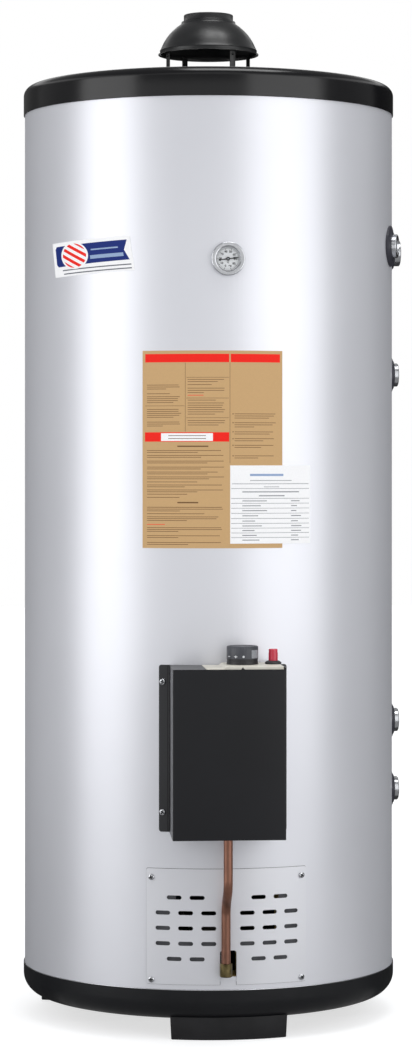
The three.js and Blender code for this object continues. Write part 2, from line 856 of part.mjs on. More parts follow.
function thermometer() {
  const bore = caseRadius - caseWall;
  const glassTop = bezelFace - bezelLip - seatGap;
  const glassFoot = glassTop - glassThickness;
  const ledge = dialLedgePlace;
  const dialFoot = ledge + seatGap;
  const dialTop = dialFoot + dialThickness;
  const hubFoot = dialTop + seatGap;
  const hubTop = glassFoot - runningGap;
  const pointer = new THREE.Shape([
    new THREE.Vector2(-needleTail, -needleHalfWidth),
    new THREE.Vector2(0, -needleHalfWidth),
    new THREE.Vector2(needleLength, -needleHalfWidth * needleTipShare),
    new THREE.Vector2(needleLength, needleHalfWidth * needleTipShare),
    new THREE.Vector2(0, needleHalfWidth),
    new THREE.Vector2(-needleTail, needleHalfWidth),
  ]);
  const hand = frontPrism(pointer, hubFoot, hubFoot + needleThickness, 1);
  const weight = outward(rod(needleWeightRadius, hubFoot, hubFoot + needleThickness,
    smallSides));
  const spindleHole = rod(spindleRadius + seatGap, ledge, hubFoot + spindleRise, smallSides);
  const needle = cut(join([
    solidOf(hand), solidOf(weight.translate(-needleTail, 0, 0)),
    solidOf(outward(rod(needleHubRadius, hubFoot, hubTop, smallSides))),
  ]), [solidOf(outward(spindleHole))]);
  const dial = outward(tube(bore - seatGap, spindleRadius + runningGap, dialFoot, dialTop,
    roundSides));
  const glass = outward(rod(bore - seatGap, glassFoot, glassTop, roundSides));
  const pointerPart = part('thermometer_needle', needle, 0x101012, 0.5, 0);
  pointerPart.rotation.y = rad(-needleRestAngle);
  return radialGroup(0, dialHeight, [
    part('thermometer_case', thermometerCase(), 0xc9cdd2, 0.15, 1),
    part('thermometer_dial', solidOf(dial), 0xe6e7e8, 0.5, 0),
    part('thermometer_glass', solidOf(glass), 0xdfe6ea, 0.05, 0),
    pointerPart,
    part('thermometer_pocket', thermometerPocket(), 0xb08d4c, 0.35, 1),
  ]);
}

function thermometerPocket() {
  const mouth = tankRadius + pocketCollarHeight;
  const closed = tankInside - pocketDepth;
  const bore = pocketRadius - pocketWall;
  return solidOf(outward(lathe([
    [0, closed], [pocketRadius, closed], [pocketRadius, tankRadius + seatGap],
    [pocketCollar, tankRadius + seatGap], [pocketCollar, mouth], [bore, mouth],
    [bore, closed + pocketWall], [0, closed + pocketWall],
  ], smallSides)));
}

// The burner cover: a curved sheet with rows of slots and a notch for the gas pipe.
function ventPlate() {
  const outer = outerFace + plateSheet;
  const halfAngle = rad(plateHalfAngle);
  const sector = ringSector(outer, outerFace, halfAngle);
  const sheet = solidOf(planPrism(sector, plateBottom, plateTop, plateArcSteps));
  const half = outer * Math.sin(halfAngle);
  const near = outer * Math.cos(halfAngle) - cutOverrun;
  const far = outer + cutOverrun;
  const outline = roundedRectangle(-half, half, plateBottom, plateTop, plateCornerRadius);
  const trimmed = sheet.intersect(solidOf(frontPrism(outline, near, far, slotEndSteps)));
  const below = plateBottom - notchCornerRadius - cutOverrun;
  const notchTop = plateBottom + notchHeight;
  const notch = roundedRectangle(notchLeft, notchRight, below, notchTop, notchCornerRadius);
  const tools = [solidOf(frontPrism(notch, near, far, outlineSteps))];
  const slot = roundedRectangle(-slotLength / 2, slotLength / 2, -slotHeight / 2,
    slotHeight / 2, slotHeight / 2);
  for (let row = 0; row < slotRows; row += 1) {
    const short = row === 0 || row === slotRows - 1 ? 1 : 0;
    const height = plateTop - slotTopInset - row * slotRowPitch;
    for (let i = 0; i < slotsPerHalfRow - short; i += 1) {
      const angle = slotFirstAngle + (i + short / 2) * slotStepAngle;
      [-angle, angle].forEach((turn) => {
        const tool = frontPrism(slot, outerFace - cutOverrun, far, slotEndSteps);
        tools.push(solidOf(tool.rotateZ(rad(turn)).translate(0, 0, height)));
      });
    }
  }
  return cut(trimmed, [...tools, ...screwHoles(screwPlaces().vent)]);
}

function screw(sheet) {
  const seat = outerFace + sheet + seatGap;
  const head = [];
  for (let i = 0; i <= screwHeadSteps; i += 1) {
    const angle = quarterTurn * i / screwHeadSteps;
    const rise = screwHeadHeight * Math.sin(angle);
    head.push([screwHeadRadius * Math.cos(angle), seat + rise]);
  }
  head[screwHeadSteps][0] = 0;
  const tip = seat - screwLength;
  return solidOf(outward(lathe([
    [0, tip], [screwShankRadius, tip], [screwShankRadius, seat], ...head,
  ], screwSides)));
}

function screws(prefix, places) {
  return places.map(({ azimuth, height, sheet }, i) => radialGroup(azimuth, height, [
    part(`${prefix}_${i + 1}`, screw(sheet), 0xc4c7cb, 0.3, 1),
  ]));
}

// The control cover in plan: flanges on the jacket, two sides and the front, as one sheet.
function coverOutline() {
  const inside = outerFace;
  const outside = outerFace + coverSheet;
  const tip = Math.asin((coverHalfWidth + coverFlange) / inside);
  const foldOut = Math.asin(coverHalfWidth / outside);
  const foldIn = Math.asin((coverHalfWidth - coverSheet) / inside);
  const shape = new THREE.Shape();
  const centre = coverHalfWidth - coverBend;
  const front = -coverFront + coverBend;
  const bendIn = coverBend - coverSheet;
  shape.absarc(0, 0, outside, -quarterTurn - tip, -quarterTurn - foldOut, false);
  shape.lineTo(-coverHalfWidth, front);
  shape.absarc(-centre, front, coverBend, Math.PI, Math.PI + quarterTurn, false);
  shape.absarc(centre, front, coverBend, -quarterTurn, 0, false);
  shape.absarc(0, 0, outside, -quarterTurn + foldOut, -quarterTurn + tip, false);
  shape.absarc(0, 0, inside, -quarterTurn + tip, -quarterTurn + foldIn, true);
  shape.lineTo(coverHalfWidth - coverSheet, front);
  shape.absarc(centre, front, bendIn, 0, -quarterTurn, true);
  shape.absarc(-centre, front, bendIn, -quarterTurn, -Math.PI, true);
  shape.absarc(0, 0, inside, -quarterTurn - foldIn, -quarterTurn - tip, true);
  return shape;
}

function controlCover() {
  const sheet = solidOf(planPrism(coverOutline(), coverBottom, coverTop, outlineSteps));
  const half = coverHalfWidth + coverFlange;
  const outline = roundedRectangle(-half, half, coverBottom, coverTop, coverFlangeCorner);
  const near = jacketRadius * Math.cos(rad(plateHalfAngle));
  const trim = solidOf(frontPrism(outline, near, coverFront + cutOverrun, outlineSteps));
  const wall = -coverHalfWidth + coverSheet / 2;
  const flap = block(wall, topCoverLeft - coverFlapGap, -coverFront + coverSheet / 2,
    -valveBack, coverTop - coverSheet, coverTop);
  const holes = screwPlaces().cover.map(({ azimuth, height }) => {
    const hole = rod(screwShankRadius + seatGap, tankRadius, coverFront, screwSides);
    return solidOf(radial(hole, azimuth - coverAzimuth, height));
  });
  return cut(join([sheet.intersect(trim), solidOf(flap)]), holes);
}

function topCoverOutline(inset) {
  const left = topCoverLeft + inset;
  const right = topCoverRight - inset;
  const step = topCoverStepX + inset;
  const bottom = inset > 0 ? valveTop - cutOverrun : valveTop + seatGap;
  const low = topCoverStepTop - inset;
  const high = topCoverTop - inset;
  return new THREE.Shape([
    [left, bottom], [right, bottom], [right, high - topCoverCorner],
    [right - topCoverCorner, high], [step + topCoverCorner, high],
    [step, high - topCoverCorner], [step, low], [left + topCoverCorner, low],
    [left, low - topCoverCorner],
  ].map(([x, y]) => new THREE.Vector2(x, y)));
}

function valveTopCover() {
  const shell = solidOf(frontPrism(topCoverOutline(0), valveBack, valveFront, 1));
  const hollow = frontPrism(topCoverOutline(topCoverWall), valveBack + topCoverWall,
    valveFront - topCoverWall, 1);
  const stemHole = rod(knobStemRadius + runningGap, valveTop, topCoverTop + cutOverrun,
    roundSides).translate(knobX, -knobY, 0);
  const igniterHole = rod(igniterRadius + seatGap, valveTop, topCoverTop + cutOverrun,
    roundSides).translate(buttonX, -knobY, 0);
  return cut(shell, [solidOf(hollow), solidOf(stemHole), solidOf(igniterHole)]);
}

// Where the gas pipe's top end lies in the turned frame of the control.
function outletPlace() {
  const place = new THREE.Vector3(pipeX, -pipeOuterY, 0);
  return place.applyAxisAngle(new THREE.Vector3(0, 0, 1), -rad(coverAzimuth));
}

function valveBody() {
  const plan = roundedRectangle(topCoverLeft, topCoverRight, -valveFront, -valveBack,
    valveCorner);
  const body = solidOf(planPrism(plan, valveBottom, valveTop, outlineSteps));
  const outlet = outletPlace();
  const boss = rod(outletBossRadius, valveBottom - outletBossHeight, valveBottom + cutOverrun,
    roundSides).translate(outlet.x, outlet.y, 0);
  const inlet = rod(inletBossRadius, valveBottom - inletBossHeight, valveBottom + cutOverrun,
    roundSides).translate(inletX, -inletY, 0);
  const shank = outward(rod(shankRadius, tankInside - shankInTank, valveBack + cutOverrun,
    roundSides)).translate(shankCentre, 0, shankHeight);
  const stemBore = rod(knobStemRadius + runningGap, knobStemBottom - knobPress - springRoom,
    valveTop + cutOverrun, roundSides).translate(knobX, -knobY, 0);
  const whole = join([body, solidOf(boss), solidOf(inlet), solidOf(shank)]);
  return cut(whole, [solidOf(stemBore)]);
}

function knobStem() {
  const top = topCoverTop + knobPress + knobStemInKnob;
  const shaft = solidOf(rod(knobStemRadius, knobStemBottom, top, roundSides));
  const flat = block(stemFlat, knobStemRadius + cutOverrun, -knobStemRadius, knobStemRadius,
    topCoverTop + knobPress, top + cutOverrun);
  return shaft.subtract(solidOf(flat));
}

// A ribbed cap over the stem, with a smooth band at its top and a bore from below.
function knob() {
  const foot = topCoverTop + knobPress + seatGap;
  const top = foot + knobHeight;
  const outline = new THREE.Shape();
  for (let i = 0; i < knobRibs * 2; i += 1) {
    const angle = Math.PI * i / knobRibs;
    const radius = i % 2 === 0 ? knobRadius : knobRadius - knobRibDepth;
    const [x, y] = [radius * Math.cos(angle), radius * Math.sin(angle)];
    if (i === 0) outline.moveTo(x, y);
    else outline.lineTo(x, y);
  }
  const rim = knobRadius - knobRibDepth;
  const ribs = solidOf(planPrism(outline, foot, top - knobRim, 1));
  const crown = solidOf(lathe([
    [0, foot + knobRim], [rim, foot + knobRim], [rim, top - knobRim / 2],
    [rim - knobRim / 2, top], [0, top],
  ], roundSides));
  const bore = rod(knobStemRadius + runningGap, foot - cutOverrun,
    topCoverTop + knobPress + knobStemInKnob + seatGap, roundSides);
  return ribs.add(crown).subtract(solidOf(bore));
}

function igniterHousing() {
  const foot = topCoverTop + seatGap;
  const collar = foot + igniterCollarHeight;
  const bore = buttonRadius + runningGap;
  const floor = foot - buttonGuide - buttonPress - springRoom;
  return solidOf(lathe([
    [0, foot - igniterLength], [igniterRadius, foot - igniterLength], [igniterRadius, foot],
    [igniterCollarRadius, foot], [igniterCollarRadius, collar - buttonEdge],
    [igniterCollarRadius - buttonEdge, collar], [bore, collar], [bore, floor], [0, floor],
  ], roundSides));
}

function igniterButton() {
  const foot = topCoverTop + seatGap - buttonGuide;
  return solidOf(lathe([
    [0, foot], [buttonRadius, foot], [buttonRadius, buttonTop - buttonEdge],
    [buttonRadius - buttonEdge, buttonTop], [0, buttonTop],
  ], roundSides));
}

function inletFitting() {
  const top = valveBottom - inletBossHeight - seatGap;
  return solidOf(tube(inletRadius, inletBore, top - inletLength, top, smallSides));
}

function pipeNut() {
  const top = valveBottom - outletBossHeight - seatGap;
  const hex = rod(nutRadius, top - nutHeight, top, hexSides);
  const bore = rod(pipeHole, top - nutHeight - cutOverrun, top + cutOverrun, pipeSides);
  return solidOf(hex).subtract(solidOf(bore));
}

function probe() {
  const mouth = tankInside - shankInTank - seatGap;
  return solidOf(outward(rod(probeRadius, mouth - probeLength, mouth, smallSides)));
}

function at(mesh, x, y, z) {
  mesh.position.set(x, y, z);
  return mesh;
}

function gasControl() {
  const outlet = outletPlace();
  return radialGroup(coverAzimuth, 0, [
    part('control_cover', controlCover(), 0x2a2b2e, 0.45, 0.2),
    part('gas_valve_body', valveBody(), 0xa8abad, 0.5, 0.9),
    part('valve_top_cover', valveTopCover(), 0xc9c6bb, 0.55, 0),
    at(part('pipe_nut', pipeNut(), 0xb5904a, 0.35, 1), outlet.x, outlet.y, 0),
    at(part('gas_inlet_fitting', inletFitting(), 0xb5904a, 0.35, 1), inletX, -inletY, 0),
    at(part('temperature_probe', probe(), 0xb08058, 0.4, 1), shankCentre, 0, shankHeight),
    at(part('knob_stem', knobStem(), 0xb0b2b5, 0.35, 1), knobX, -knobY, 0),
    at(part('thermostat_knob', knob(), 0x45474d, 0.5, 0), knobX, -knobY, 0),
    at(part('igniter_housing', igniterHousing(), 0x1c1c20, 0.5, 0), buttonX, -knobY, 0),
    at(part('igniter_button', igniterButton(), 0xc02040, 0.4, 0), buttonX, -knobY, 0),
  ]);
}

// Straight down from the control, a soft step in towards the jacket, and down to the elbow.
function gasPipe() {
  const top = valveBottom - outletBossHeight - seatGap;
  const foot = elbowFloor + seatGap;
  const point = (y, z) => new THREE.Vector3(pipeX, -y, z);
  const slope = point(pipeInnerY, jogBottom).sub(point(pipeOuterY, jogTop)).normalize();
  const leave = point(pipeOuterY, jogTop).addScaledVector(slope, jogSoftness);
  const arrive = point(pipeInnerY, jogBottom).addScaledVector(slope, -jogSoftness);
  const path = new THREE.CurvePath();
  const upper = point(pipeOuterY, jogTop + jogSoftness);
  const lower = point(pipeInnerY, jogBottom - jogSoftness);
  path.add(new THREE.LineCurve3(point(pipeOuterY, top), upper));
  path.add(new THREE.QuadraticBezierCurve3(upper, point(pipeOuterY, jogTop), leave));
  path.add(new THREE.LineCurve3(leave, arrive));
  path.add(new THREE.QuadraticBezierCurve3(arrive, point(pipeInnerY, jogBottom), lower));
  path.add(new THREE.LineCurve3(lower, point(pipeInnerY, foot)));
  const section = new THREE.Shape().absarc(0, 0, pipeRadius, 0, Math.PI * 2, false);
  const hole = new THREE.Path().absarc(0, 0, pipeBore, 0, Math.PI * 2, true);
  section.holes.push(hole);
  const options = { steps: pipeSteps, extrudePath: path, curveSegments: pipeSides / 2 };
  return solidOf(new THREE.ExtrudeGeometry(section, options));
}

function elbow() {
  const cup = lathe([
    [0, elbowBottom], [elbowRadius - elbowEdge, elbowBottom],
    [elbowRadius, elbowBottom + elbowEdge], [elbowRadius, elbowTop],
    [pipeHole, elbowTop], [pipeHole, elbowFloor], [0, elbowFloor],
  ], pipeSides).translate(0, -pipeInnerY, 0);
  const leg = outward(rod(elbowLegRadius, venturiMouth + seatGap, pipeInnerY, pipeSides));
  return join([solidOf(cup), solidOf(leg.translate(0, 0, elbowHeight))]);
}

function burner() {
  const bowl = lathe([
    [0, burnerFoot], [burnerFootRadius, burnerFoot], [burnerRadius, burnerTop - burnerRimHeight],
    [burnerRadius, burnerTop], [0, burnerTop],
  ], tankSides);
  const venturi = outward(rod(venturiRadius, 0, venturiMouth, roundSides));
  const whole = join([
    solidOf(bowl), solidOf(venturi.translate(pipeX, 0, elbowHeight)),
  ]);
  const slots = [];
  for (let i = 0; i < burnerSlots; i += 1) {
    const angle = Math.PI * 2 * (i + 1 / 2) / burnerSlots;
    const half = burnerSlotLength / 2;
    const slot = block(-burnerSlotWidth / 2, burnerSlotWidth / 2, -burnerSlotRadius - half,
      -burnerSlotRadius + half, burnerTop - burnerSlotDepth, burnerTop + cutOverrun);
    slots.push(solidOf(slot.rotateZ(angle)));
  }
  return cut(whole, slots);
}

// A folded strap from the floor of the base up to the foot of the burner.
function burnerBracket() {
  const foot = baseFloor + seatGap;
  const top = burnerFoot - seatGap;
  const inner = burnerFootRadius;
  const half = bracketHalfSpan;
  const shape = new THREE.Shape([
    [-half, foot], [-inner, foot], [-inner, top - bracketSheet], [inner, top - bracketSheet],
    [inner, foot], [half, foot], [half, foot + bracketSheet],
    [inner + bracketSheet, foot + bracketSheet], [inner + bracketSheet, top],
    [-inner - bracketSheet, top], [-inner - bracketSheet, foot + bracketSheet],
    [-half, foot + bracketSheet],
  ].map(([x, y]) => new THREE.Vector2(x, y)));
  return solidOf(frontPrism(shape, -bracketWidth / 2, bracketWidth / 2, 1));
}

function pilotBurner() {
  const half = pilotPlateLength / 2;
  const side = pilotPlateWidth / 2;
  const plate = block(-half, half, -side, side, seatGap, seatGap + pilotPlateSheet);
  const head = rod(pilotRadius, seatGap, pilotHeight, smallSides)
    .translate(-pilotSpacing / 2, 0, 0);
  const hole = rod(thermocoupleRadius + seatGap, 0, pilotHeight, smallSides)
    .translate(pilotSpacing / 2, 0, 0);
  return join([solidOf(plate), solidOf(head)]).subtract(solidOf(hole));
}

function thermocouple() {
  const seat = seatGap + pilotPlateSheet + seatGap;
  return solidOf(lathe([
    [0, seatGap], [thermocoupleRadius, seatGap], [thermocoupleRadius, seat],
    [thermocoupleCollar, seat], [thermocoupleCollar, seat + thermocoupleCollarHeight],
    [thermocoupleRadius, seat + thermocoupleCollarHeight],
    [thermocoupleRadius, thermocoupleHeight - thermocoupleRadius],
    [thermocoupleRadius / 2, thermocoupleHeight], [0, thermocoupleHeight],
  ], smallSides));
}

function burnerGroup() {
  return [
    part('burner', burner(), 0x6c6a66, 0.6, 0.8),
    part('burner_bracket', burnerBracket(), 0x8c8f92, 0.5, 0.9),
    at(part('pilot_burner', pilotBurner(), 0xa09a88, 0.4, 0.9), pilotX, pilotY, burnerTop),
    at(part('thermocouple', thermocouple(), 0xb08058, 0.4, 1), pilotX + pilotSpacing / 2,
      pilotY, burnerTop),
    part('burner_gas_pipe', gasPipe(), 0x8a6458, 0.35, 1),
    at(part('burner_elbow', elbow(), 0xb5904a, 0.35, 1), pipeX, 0, 0),
  ];
}

function feet() {
  return footAzimuths.map((azimuth, i) => {
    const block = part(footNames[i], foot(), 0x222326, 0.6, 0);
    block.rotation.z = rad(azimuth);
    return block;
  });
}

function tank() {
  return [
    part('tank_shell', tankShell(), 0x5d6266, 0.6, 0.6),
    part('tank_top_head', topHead(), 0x5d6266, 0.6, 0.6),
    part('tank_bottom_head', headSolid(bottomHeadHeight, bottomHeadRise), 0x5d6266, 0.6, 0.6),
    part('flue_tube', flueTube(), 0x6a6c6e, 0.6, 0.7),
    part('flue_baffle', flueBaffle(), 0x7c7d7e, 0.6, 0.8),
    part('foam_insulation', foam(), 0xd9c98a, 0.95, 0),
    anode(),
  ];
}

const { vent, cover } = screwPlaces();
const heater = new THREE.Group();
heater.add(
  part('base_pan', basePan(), 0x242527, 0.45, 0.1),
  ...feet(),
  part('jacket', jacket(), 0xc9cace, 0.35, 0.6),
  part('top_lid', topLid(), 0x1c1c20, 0.2, 0.1),
  hood(),
  ...tank(),
  ...connections(),
  thermometer(),
  part('vent_plate', ventPlate(), 0xc5c6c9, 0.4, 0.5),
  ...screws('vent_screw', vent),
  ...screws('cover_screw', cover),
  gasControl(),
  ...burnerGroup(),
);

export default heater;
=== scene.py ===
# %% [markdown]
# # A gas storage water heater
# A real one is a tank in foam, wrapped in a rolled silver sheet between a black lid and a black
# base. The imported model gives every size, place and moving body. This script makes what the eye
# sees, piece by piece, and gives each piece its finish.

# %% Load the frame
import math
import random

import bmesh
import bpy
from mathutils import Matrix, Vector


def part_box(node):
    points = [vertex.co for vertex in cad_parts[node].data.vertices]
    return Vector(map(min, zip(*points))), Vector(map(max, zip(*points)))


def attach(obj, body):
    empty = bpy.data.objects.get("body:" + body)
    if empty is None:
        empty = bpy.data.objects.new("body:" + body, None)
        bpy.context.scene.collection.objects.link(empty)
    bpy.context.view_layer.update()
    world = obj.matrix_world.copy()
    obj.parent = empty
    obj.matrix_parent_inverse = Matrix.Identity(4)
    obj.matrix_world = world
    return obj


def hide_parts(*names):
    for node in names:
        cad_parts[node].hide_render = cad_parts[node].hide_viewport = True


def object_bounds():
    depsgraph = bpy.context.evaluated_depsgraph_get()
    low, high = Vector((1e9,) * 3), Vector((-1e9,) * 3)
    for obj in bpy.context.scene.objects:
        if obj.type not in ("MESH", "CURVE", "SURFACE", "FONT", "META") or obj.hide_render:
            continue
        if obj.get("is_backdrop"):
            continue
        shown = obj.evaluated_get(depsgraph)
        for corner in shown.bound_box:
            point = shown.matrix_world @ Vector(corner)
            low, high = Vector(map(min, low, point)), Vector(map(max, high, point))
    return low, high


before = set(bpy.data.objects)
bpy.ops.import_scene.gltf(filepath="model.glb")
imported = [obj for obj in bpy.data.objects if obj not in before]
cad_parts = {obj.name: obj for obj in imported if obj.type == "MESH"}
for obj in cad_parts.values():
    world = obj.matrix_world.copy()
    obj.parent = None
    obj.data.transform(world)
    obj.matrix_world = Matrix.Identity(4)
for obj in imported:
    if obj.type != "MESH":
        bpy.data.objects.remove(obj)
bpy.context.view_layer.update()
print("CAD nodes", len(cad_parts))

# %% [markdown]
# ## Units and main sizes
# Makers draw sheet metal in millimetres, and Blender's scene is in metres. Here every piece is
# drawn in millimetres and made smaller when it is finished. The main sizes come from the packed
# model, so that the pieces fit it.

# %% Units and main sizes
MM = 0.001
FULL_TURN = math.tau
QUARTER_TURN = math.pi / 2


def cad_size(node):
    """Gives the lowest and highest corner of a CAD node in millimetres."""
    low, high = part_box(node)
    return low / MM, high / MM


jacket_low, jacket_high = cad_size("jacket")
lid_low, lid_high = cad_size("top_lid")
base_low, base_high = cad_size("base_pan")
jacket_radius = -jacket_low.y
casing_radius = -lid_low.y
sheet_gap = 0.3
outer_face = jacket_radius + sheet_gap
casing_sheet = 1.5
print("jacket radius", round(jacket_radius, 1), "lid top", round(lid_high.z, 1))

# %% [markdown]
# ## Camera
# The photograph was taken from about five metres, level, a little to the left of the front. A
# long lens keeps the sides of the tall tank upright. The small shift puts the horizon on its own
# row of the picture without tilting the camera.

# %% Camera
photo_width = 412
photo_height = 1052
photo_horizon_row = 466
photo_axis_column = 208.4
photo_focal_length = 3042
camera_distance = 4950
camera_height = 881
camera_azimuth = math.radians(-5.8)
sensor_size = 36


def round_the_axis(distance, azimuth, height):
    """Gives a place in metres at an azimuth from the front, counted towards +X."""
    side = distance * math.sin(azimuth)
    return Vector((side, -distance * math.cos(azimuth), height)) * MM


camera_data = bpy.data.cameras.new("studio_camera")
camera_data.sensor_width = sensor_size
camera_data.lens = photo_focal_length / photo_height * sensor_size
camera_data.shift_x = (photo_width / 2 - photo_axis_column) / photo_height
camera_data.shift_y = (photo_horizon_row - photo_height / 2) / photo_height
camera = bpy.data.objects.new("studio_camera", camera_data)
camera.location = round_the_axis(camera_distance, camera_azimuth, camera_height)
camera.rotation_euler = (QUARTER_TURN, 0, camera_azimuth)
bpy.context.scene.collection.objects.link(camera)
bpy.context.scene.camera = camera
print("lens", round(camera_data.lens, 1), "mm")

# %% [markdown]
# ## Studio
# Product photographers light satin metal with tall soft boxes, which become the two bright
# stripes down its sides, and stand grey cards where the metal has to stay darker. A narrow box
# behind the heater serves its back in the same way. A card is only seen in reflections. The world
# gives the even light between them, and what the camera, metal and glass see of it is white.

# %% Soft boxes and cards
studio_distance = 2900
studio_top = 2500
studio_middle = studio_top / 2
ceiling_height = 3300
top_light_size = (1400, 900)
top_light_place = (330, -650)
front_split = 1750
card_steps = 12


def width_over(angle):
    """Gives the width of a flat panel that spans an angle in degrees, seen from the heater."""
    return 2 * studio_distance * math.tan(math.radians(angle / 2))


def soft_box(name, azimuth, width, height, level, radiance):
    """Hangs an upright soft light that faces the heater, at an azimuth from the camera."""
    data = bpy.data.lights.new(name, "AREA")
    data.shape = "RECTANGLE"
    data.size = width * MM
    data.size_y = height * MM
    data.energy = radiance * math.pi * data.size * data.size_y
    light = bpy.data.objects.new(name, data)
    turned = camera_azimuth + math.radians(azimuth)
    light.location = round_the_axis(studio_distance, turned, level)
    light.rotation_euler = (QUARTER_TURN, 0, turned)
    light.visible_camera = False
    bpy.context.scene.collection.objects.link(light)
    return light


def new_object(name, bm, scale=MM):
    """Makes an object in metres from a mesh in millimetres, and frees the mesh."""
    bmesh.ops.scale(bm, vec=(scale, scale, scale), verts=bm.verts)
    mesh = bpy.data.meshes.new(name)
    bm.to_mesh(mesh)
    bm.free()
    obj = bpy.data.objects.new(name, mesh)
    bpy.context.scene.collection.objects.link(obj)
    return obj


def socket_name(name):
    """Turns a name with underscores into the name that Blender shows."""
    return name.replace("_", " ").title().replace("Ior", "IOR")


def add_node(tree, kind, *first, **named):
    """Adds a shader node. Its sockets take values, or other nodes' outputs, in order or by name."""
    node = tree.nodes.new(kind)
    sockets = list(zip(node.inputs, first))
    sockets += [(node.inputs[socket_name(name)], value) for name, value in named.items()]
    for socket, value in sockets:
        if isinstance(value, bpy.types.NodeSocket):
            tree.links.new(value, socket)
        else:
            socket.default_value = value
    return node


def card(name, bm, level):
    """Makes a grey card that nothing but a glossy surface sees."""
    obj = new_object(name, bm)
    grey = bpy.data.materials.new(name)
    grey.use_nodes = True
    tree = grey.node_tree
    shine = add_node(tree, "ShaderNodeEmission", strength=level)
    tree.links.new(shine.outputs[0], tree.nodes["Material Output"].inputs["Surface"])
    obj.data.materials.append(grey)
    obj.visible_camera = False
    obj.visible_diffuse = False
    obj.visible_transmission = False
    obj.visible_shadow = False
    obj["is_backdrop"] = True


def spin(bm, geom, angle, steps, merge=False, centre=(0, 0, 0), axis=(0, 0, 1)):
    """Spins geometry about an axis, which is Z unless told, and gives its last copy."""
    return bmesh.ops.spin(bm, geom=geom, cent=centre, axis=axis, dvec=(0, 0, 0), angle=angle,
                          steps=steps, use_merge=merge, use_duplicate=False)["geom_last"]


def curved_card(name, first, last, level, bottom=0, top=studio_top):
    """Spins an upright line from one azimuth to another, in degrees from the camera."""
    bm = bmesh.new()
    line = [bm.verts.new((0, -studio_distance, height)) for height in (bottom, top)]
    edge = bm.edges.new(line)
    turned = Matrix.Rotation(camera_azimuth + math.radians(first), 3, "Z")
    bmesh.ops.rotate(bm, cent=(0, 0, 0), matrix=turned, verts=line)
    spin(bm, [*line, edge], math.radians(last - first), card_steps)
    card(name, bm, level)


def flat_card(name, height, level, front, back):
    """Lays a card level, above the heater or under it, between two depths along Y."""
    bm = bmesh.new()
    bmesh.ops.create_grid(bm, x_segments=1, y_segments=1, size=studio_distance)
    bmesh.ops.scale(bm, vec=(1, (back - front) / 2 / studio_distance, 1), verts=bm.verts)
    bmesh.ops.translate(bm, vec=(0, (front + back) / 2, height), verts=bm.verts)
    card(name, bm, level)


soft_box("stripe_light_left", -61, width_over(37), studio_top, studio_middle, 1.4)
soft_box("stripe_light_right", 46, width_over(46), studio_top, studio_middle, 1.09)
soft_box("back_light", 180, width_over(30), studio_top, studio_middle, 0.9)
top_light = soft_box("top_light", 0, *top_light_size, ceiling_height, 5.5)
top_light.location = Vector((*top_light_place, ceiling_height)) * MM
top_light.rotation_euler = (0, 0, 0)
curved_card("card_front_low", -43, 22, 0.82, top=front_split)
curved_card("card_front_high", -43, 22, 0.3, bottom=front_split)
curved_card("card_left", -125, -82, 0.28)
curved_card("card_left_behind", -178, -125, 0.12)
curved_card("card_right", 72, 118, 0.26)
curved_card("card_right_behind", 118, 178, 0.03)

flat_card("card_ceiling", ceiling_height + 60, 0.3, -studio_distance, studio_distance)
flat_card("card_floor_front", 1, 0.3, -studio_distance, -100)
flat_card("card_floor_behind", 1, 0.05, -100, studio_distance)


# %% World


def seen_rays(tree):
    """Gives 1 for rays of the camera, of gloss and of glass, and 0 for the light between."""
    ray = add_node(tree, "ShaderNodeLightPath").outputs
    seen = ray["Is Camera Ray"]
    for kind in ("Is Glossy Ray", "Is Transmission Ray"):
        larger = add_node(tree, "ShaderNodeMath", seen, ray[kind])
        larger.operation = "MAXIMUM"
        seen = larger.outputs[0]
    return seen


def show_apart(tree, between, seen, output):
    """Lets one shader light the scene and another be what is seen."""
    mix = add_node(tree, "ShaderNodeMixShader", seen_rays(tree), between, seen)
    tree.links.new(mix.outputs[0], tree.nodes[output].inputs["Surface"])


world = bpy.data.worlds.new("studio_world")
world.use_nodes = True
bpy.context.scene.world = world
ambient = world.node_tree.nodes["Background"]
ambient.inputs["Color"].default_value = (0.98, 0.99, 1, 1)
ambient.inputs["Strength"].default_value = 0.8
white = add_node(world.node_tree, "ShaderNodeBackground", (1, 1, 1, 1), 1)
show_apart(world.node_tree, ambient.outputs[0], white.outputs[0], "World Output")
bpy.context.scene.view_settings.view_transform = "Standard"
print("world", world.name)

# %% [markdown]
# ## Finishes
# A finish is one Principled shader. Noise on Object coordinates stays with the metal, so it can
# let the colour drift, roughen the gloss unevenly and raise a faint skin. Three small helpers do
# these three things, and each finish says how much of each the real surface shows.

# %% Helpers for finishes


def paint(red, green, blue):
    """Turns a colour as a picture shows it, 0 to 255, into the linear colour of a shader."""
    parts = [part / 255 for part in (red, green, blue)]
    linear = [p / 12.92 if p <= 0.04045 else ((p + 0.055) / 1.055) ** 2.4 for p in parts]
    return (*linear, 1)


finishes = {}


def noise_on(material, scale, stretch=(1, 1, 1), detail=3):
    """Adds a noise that lies still on the piece and gives its output."""
    tree = material.node_tree
    place = add_node(tree, "ShaderNodeTexCoord").outputs["Object"]
    mapping = add_node(tree, "ShaderNodeMapping", vector=place, scale=stretch)
    noise = add_node(tree, "ShaderNodeTexNoise", vector=mapping.outputs["Vector"], scale=scale,
                     detail=detail)
    return noise.outputs["Fac"]


def drift_colour(material, pattern, low, high):
    """Lets the colour move between two near shades with a pattern."""
    tree = material.node_tree
    ramp = add_node(tree, "ShaderNodeValToRGB", pattern)
    for stop, position, colour in zip(ramp.color_ramp.elements, (0.35, 0.65), (low, high)):
        stop.position = position
        stop.color = colour
    tree.links.new(ramp.outputs["Color"], tree.nodes["Principled BSDF"].inputs["Base Color"])


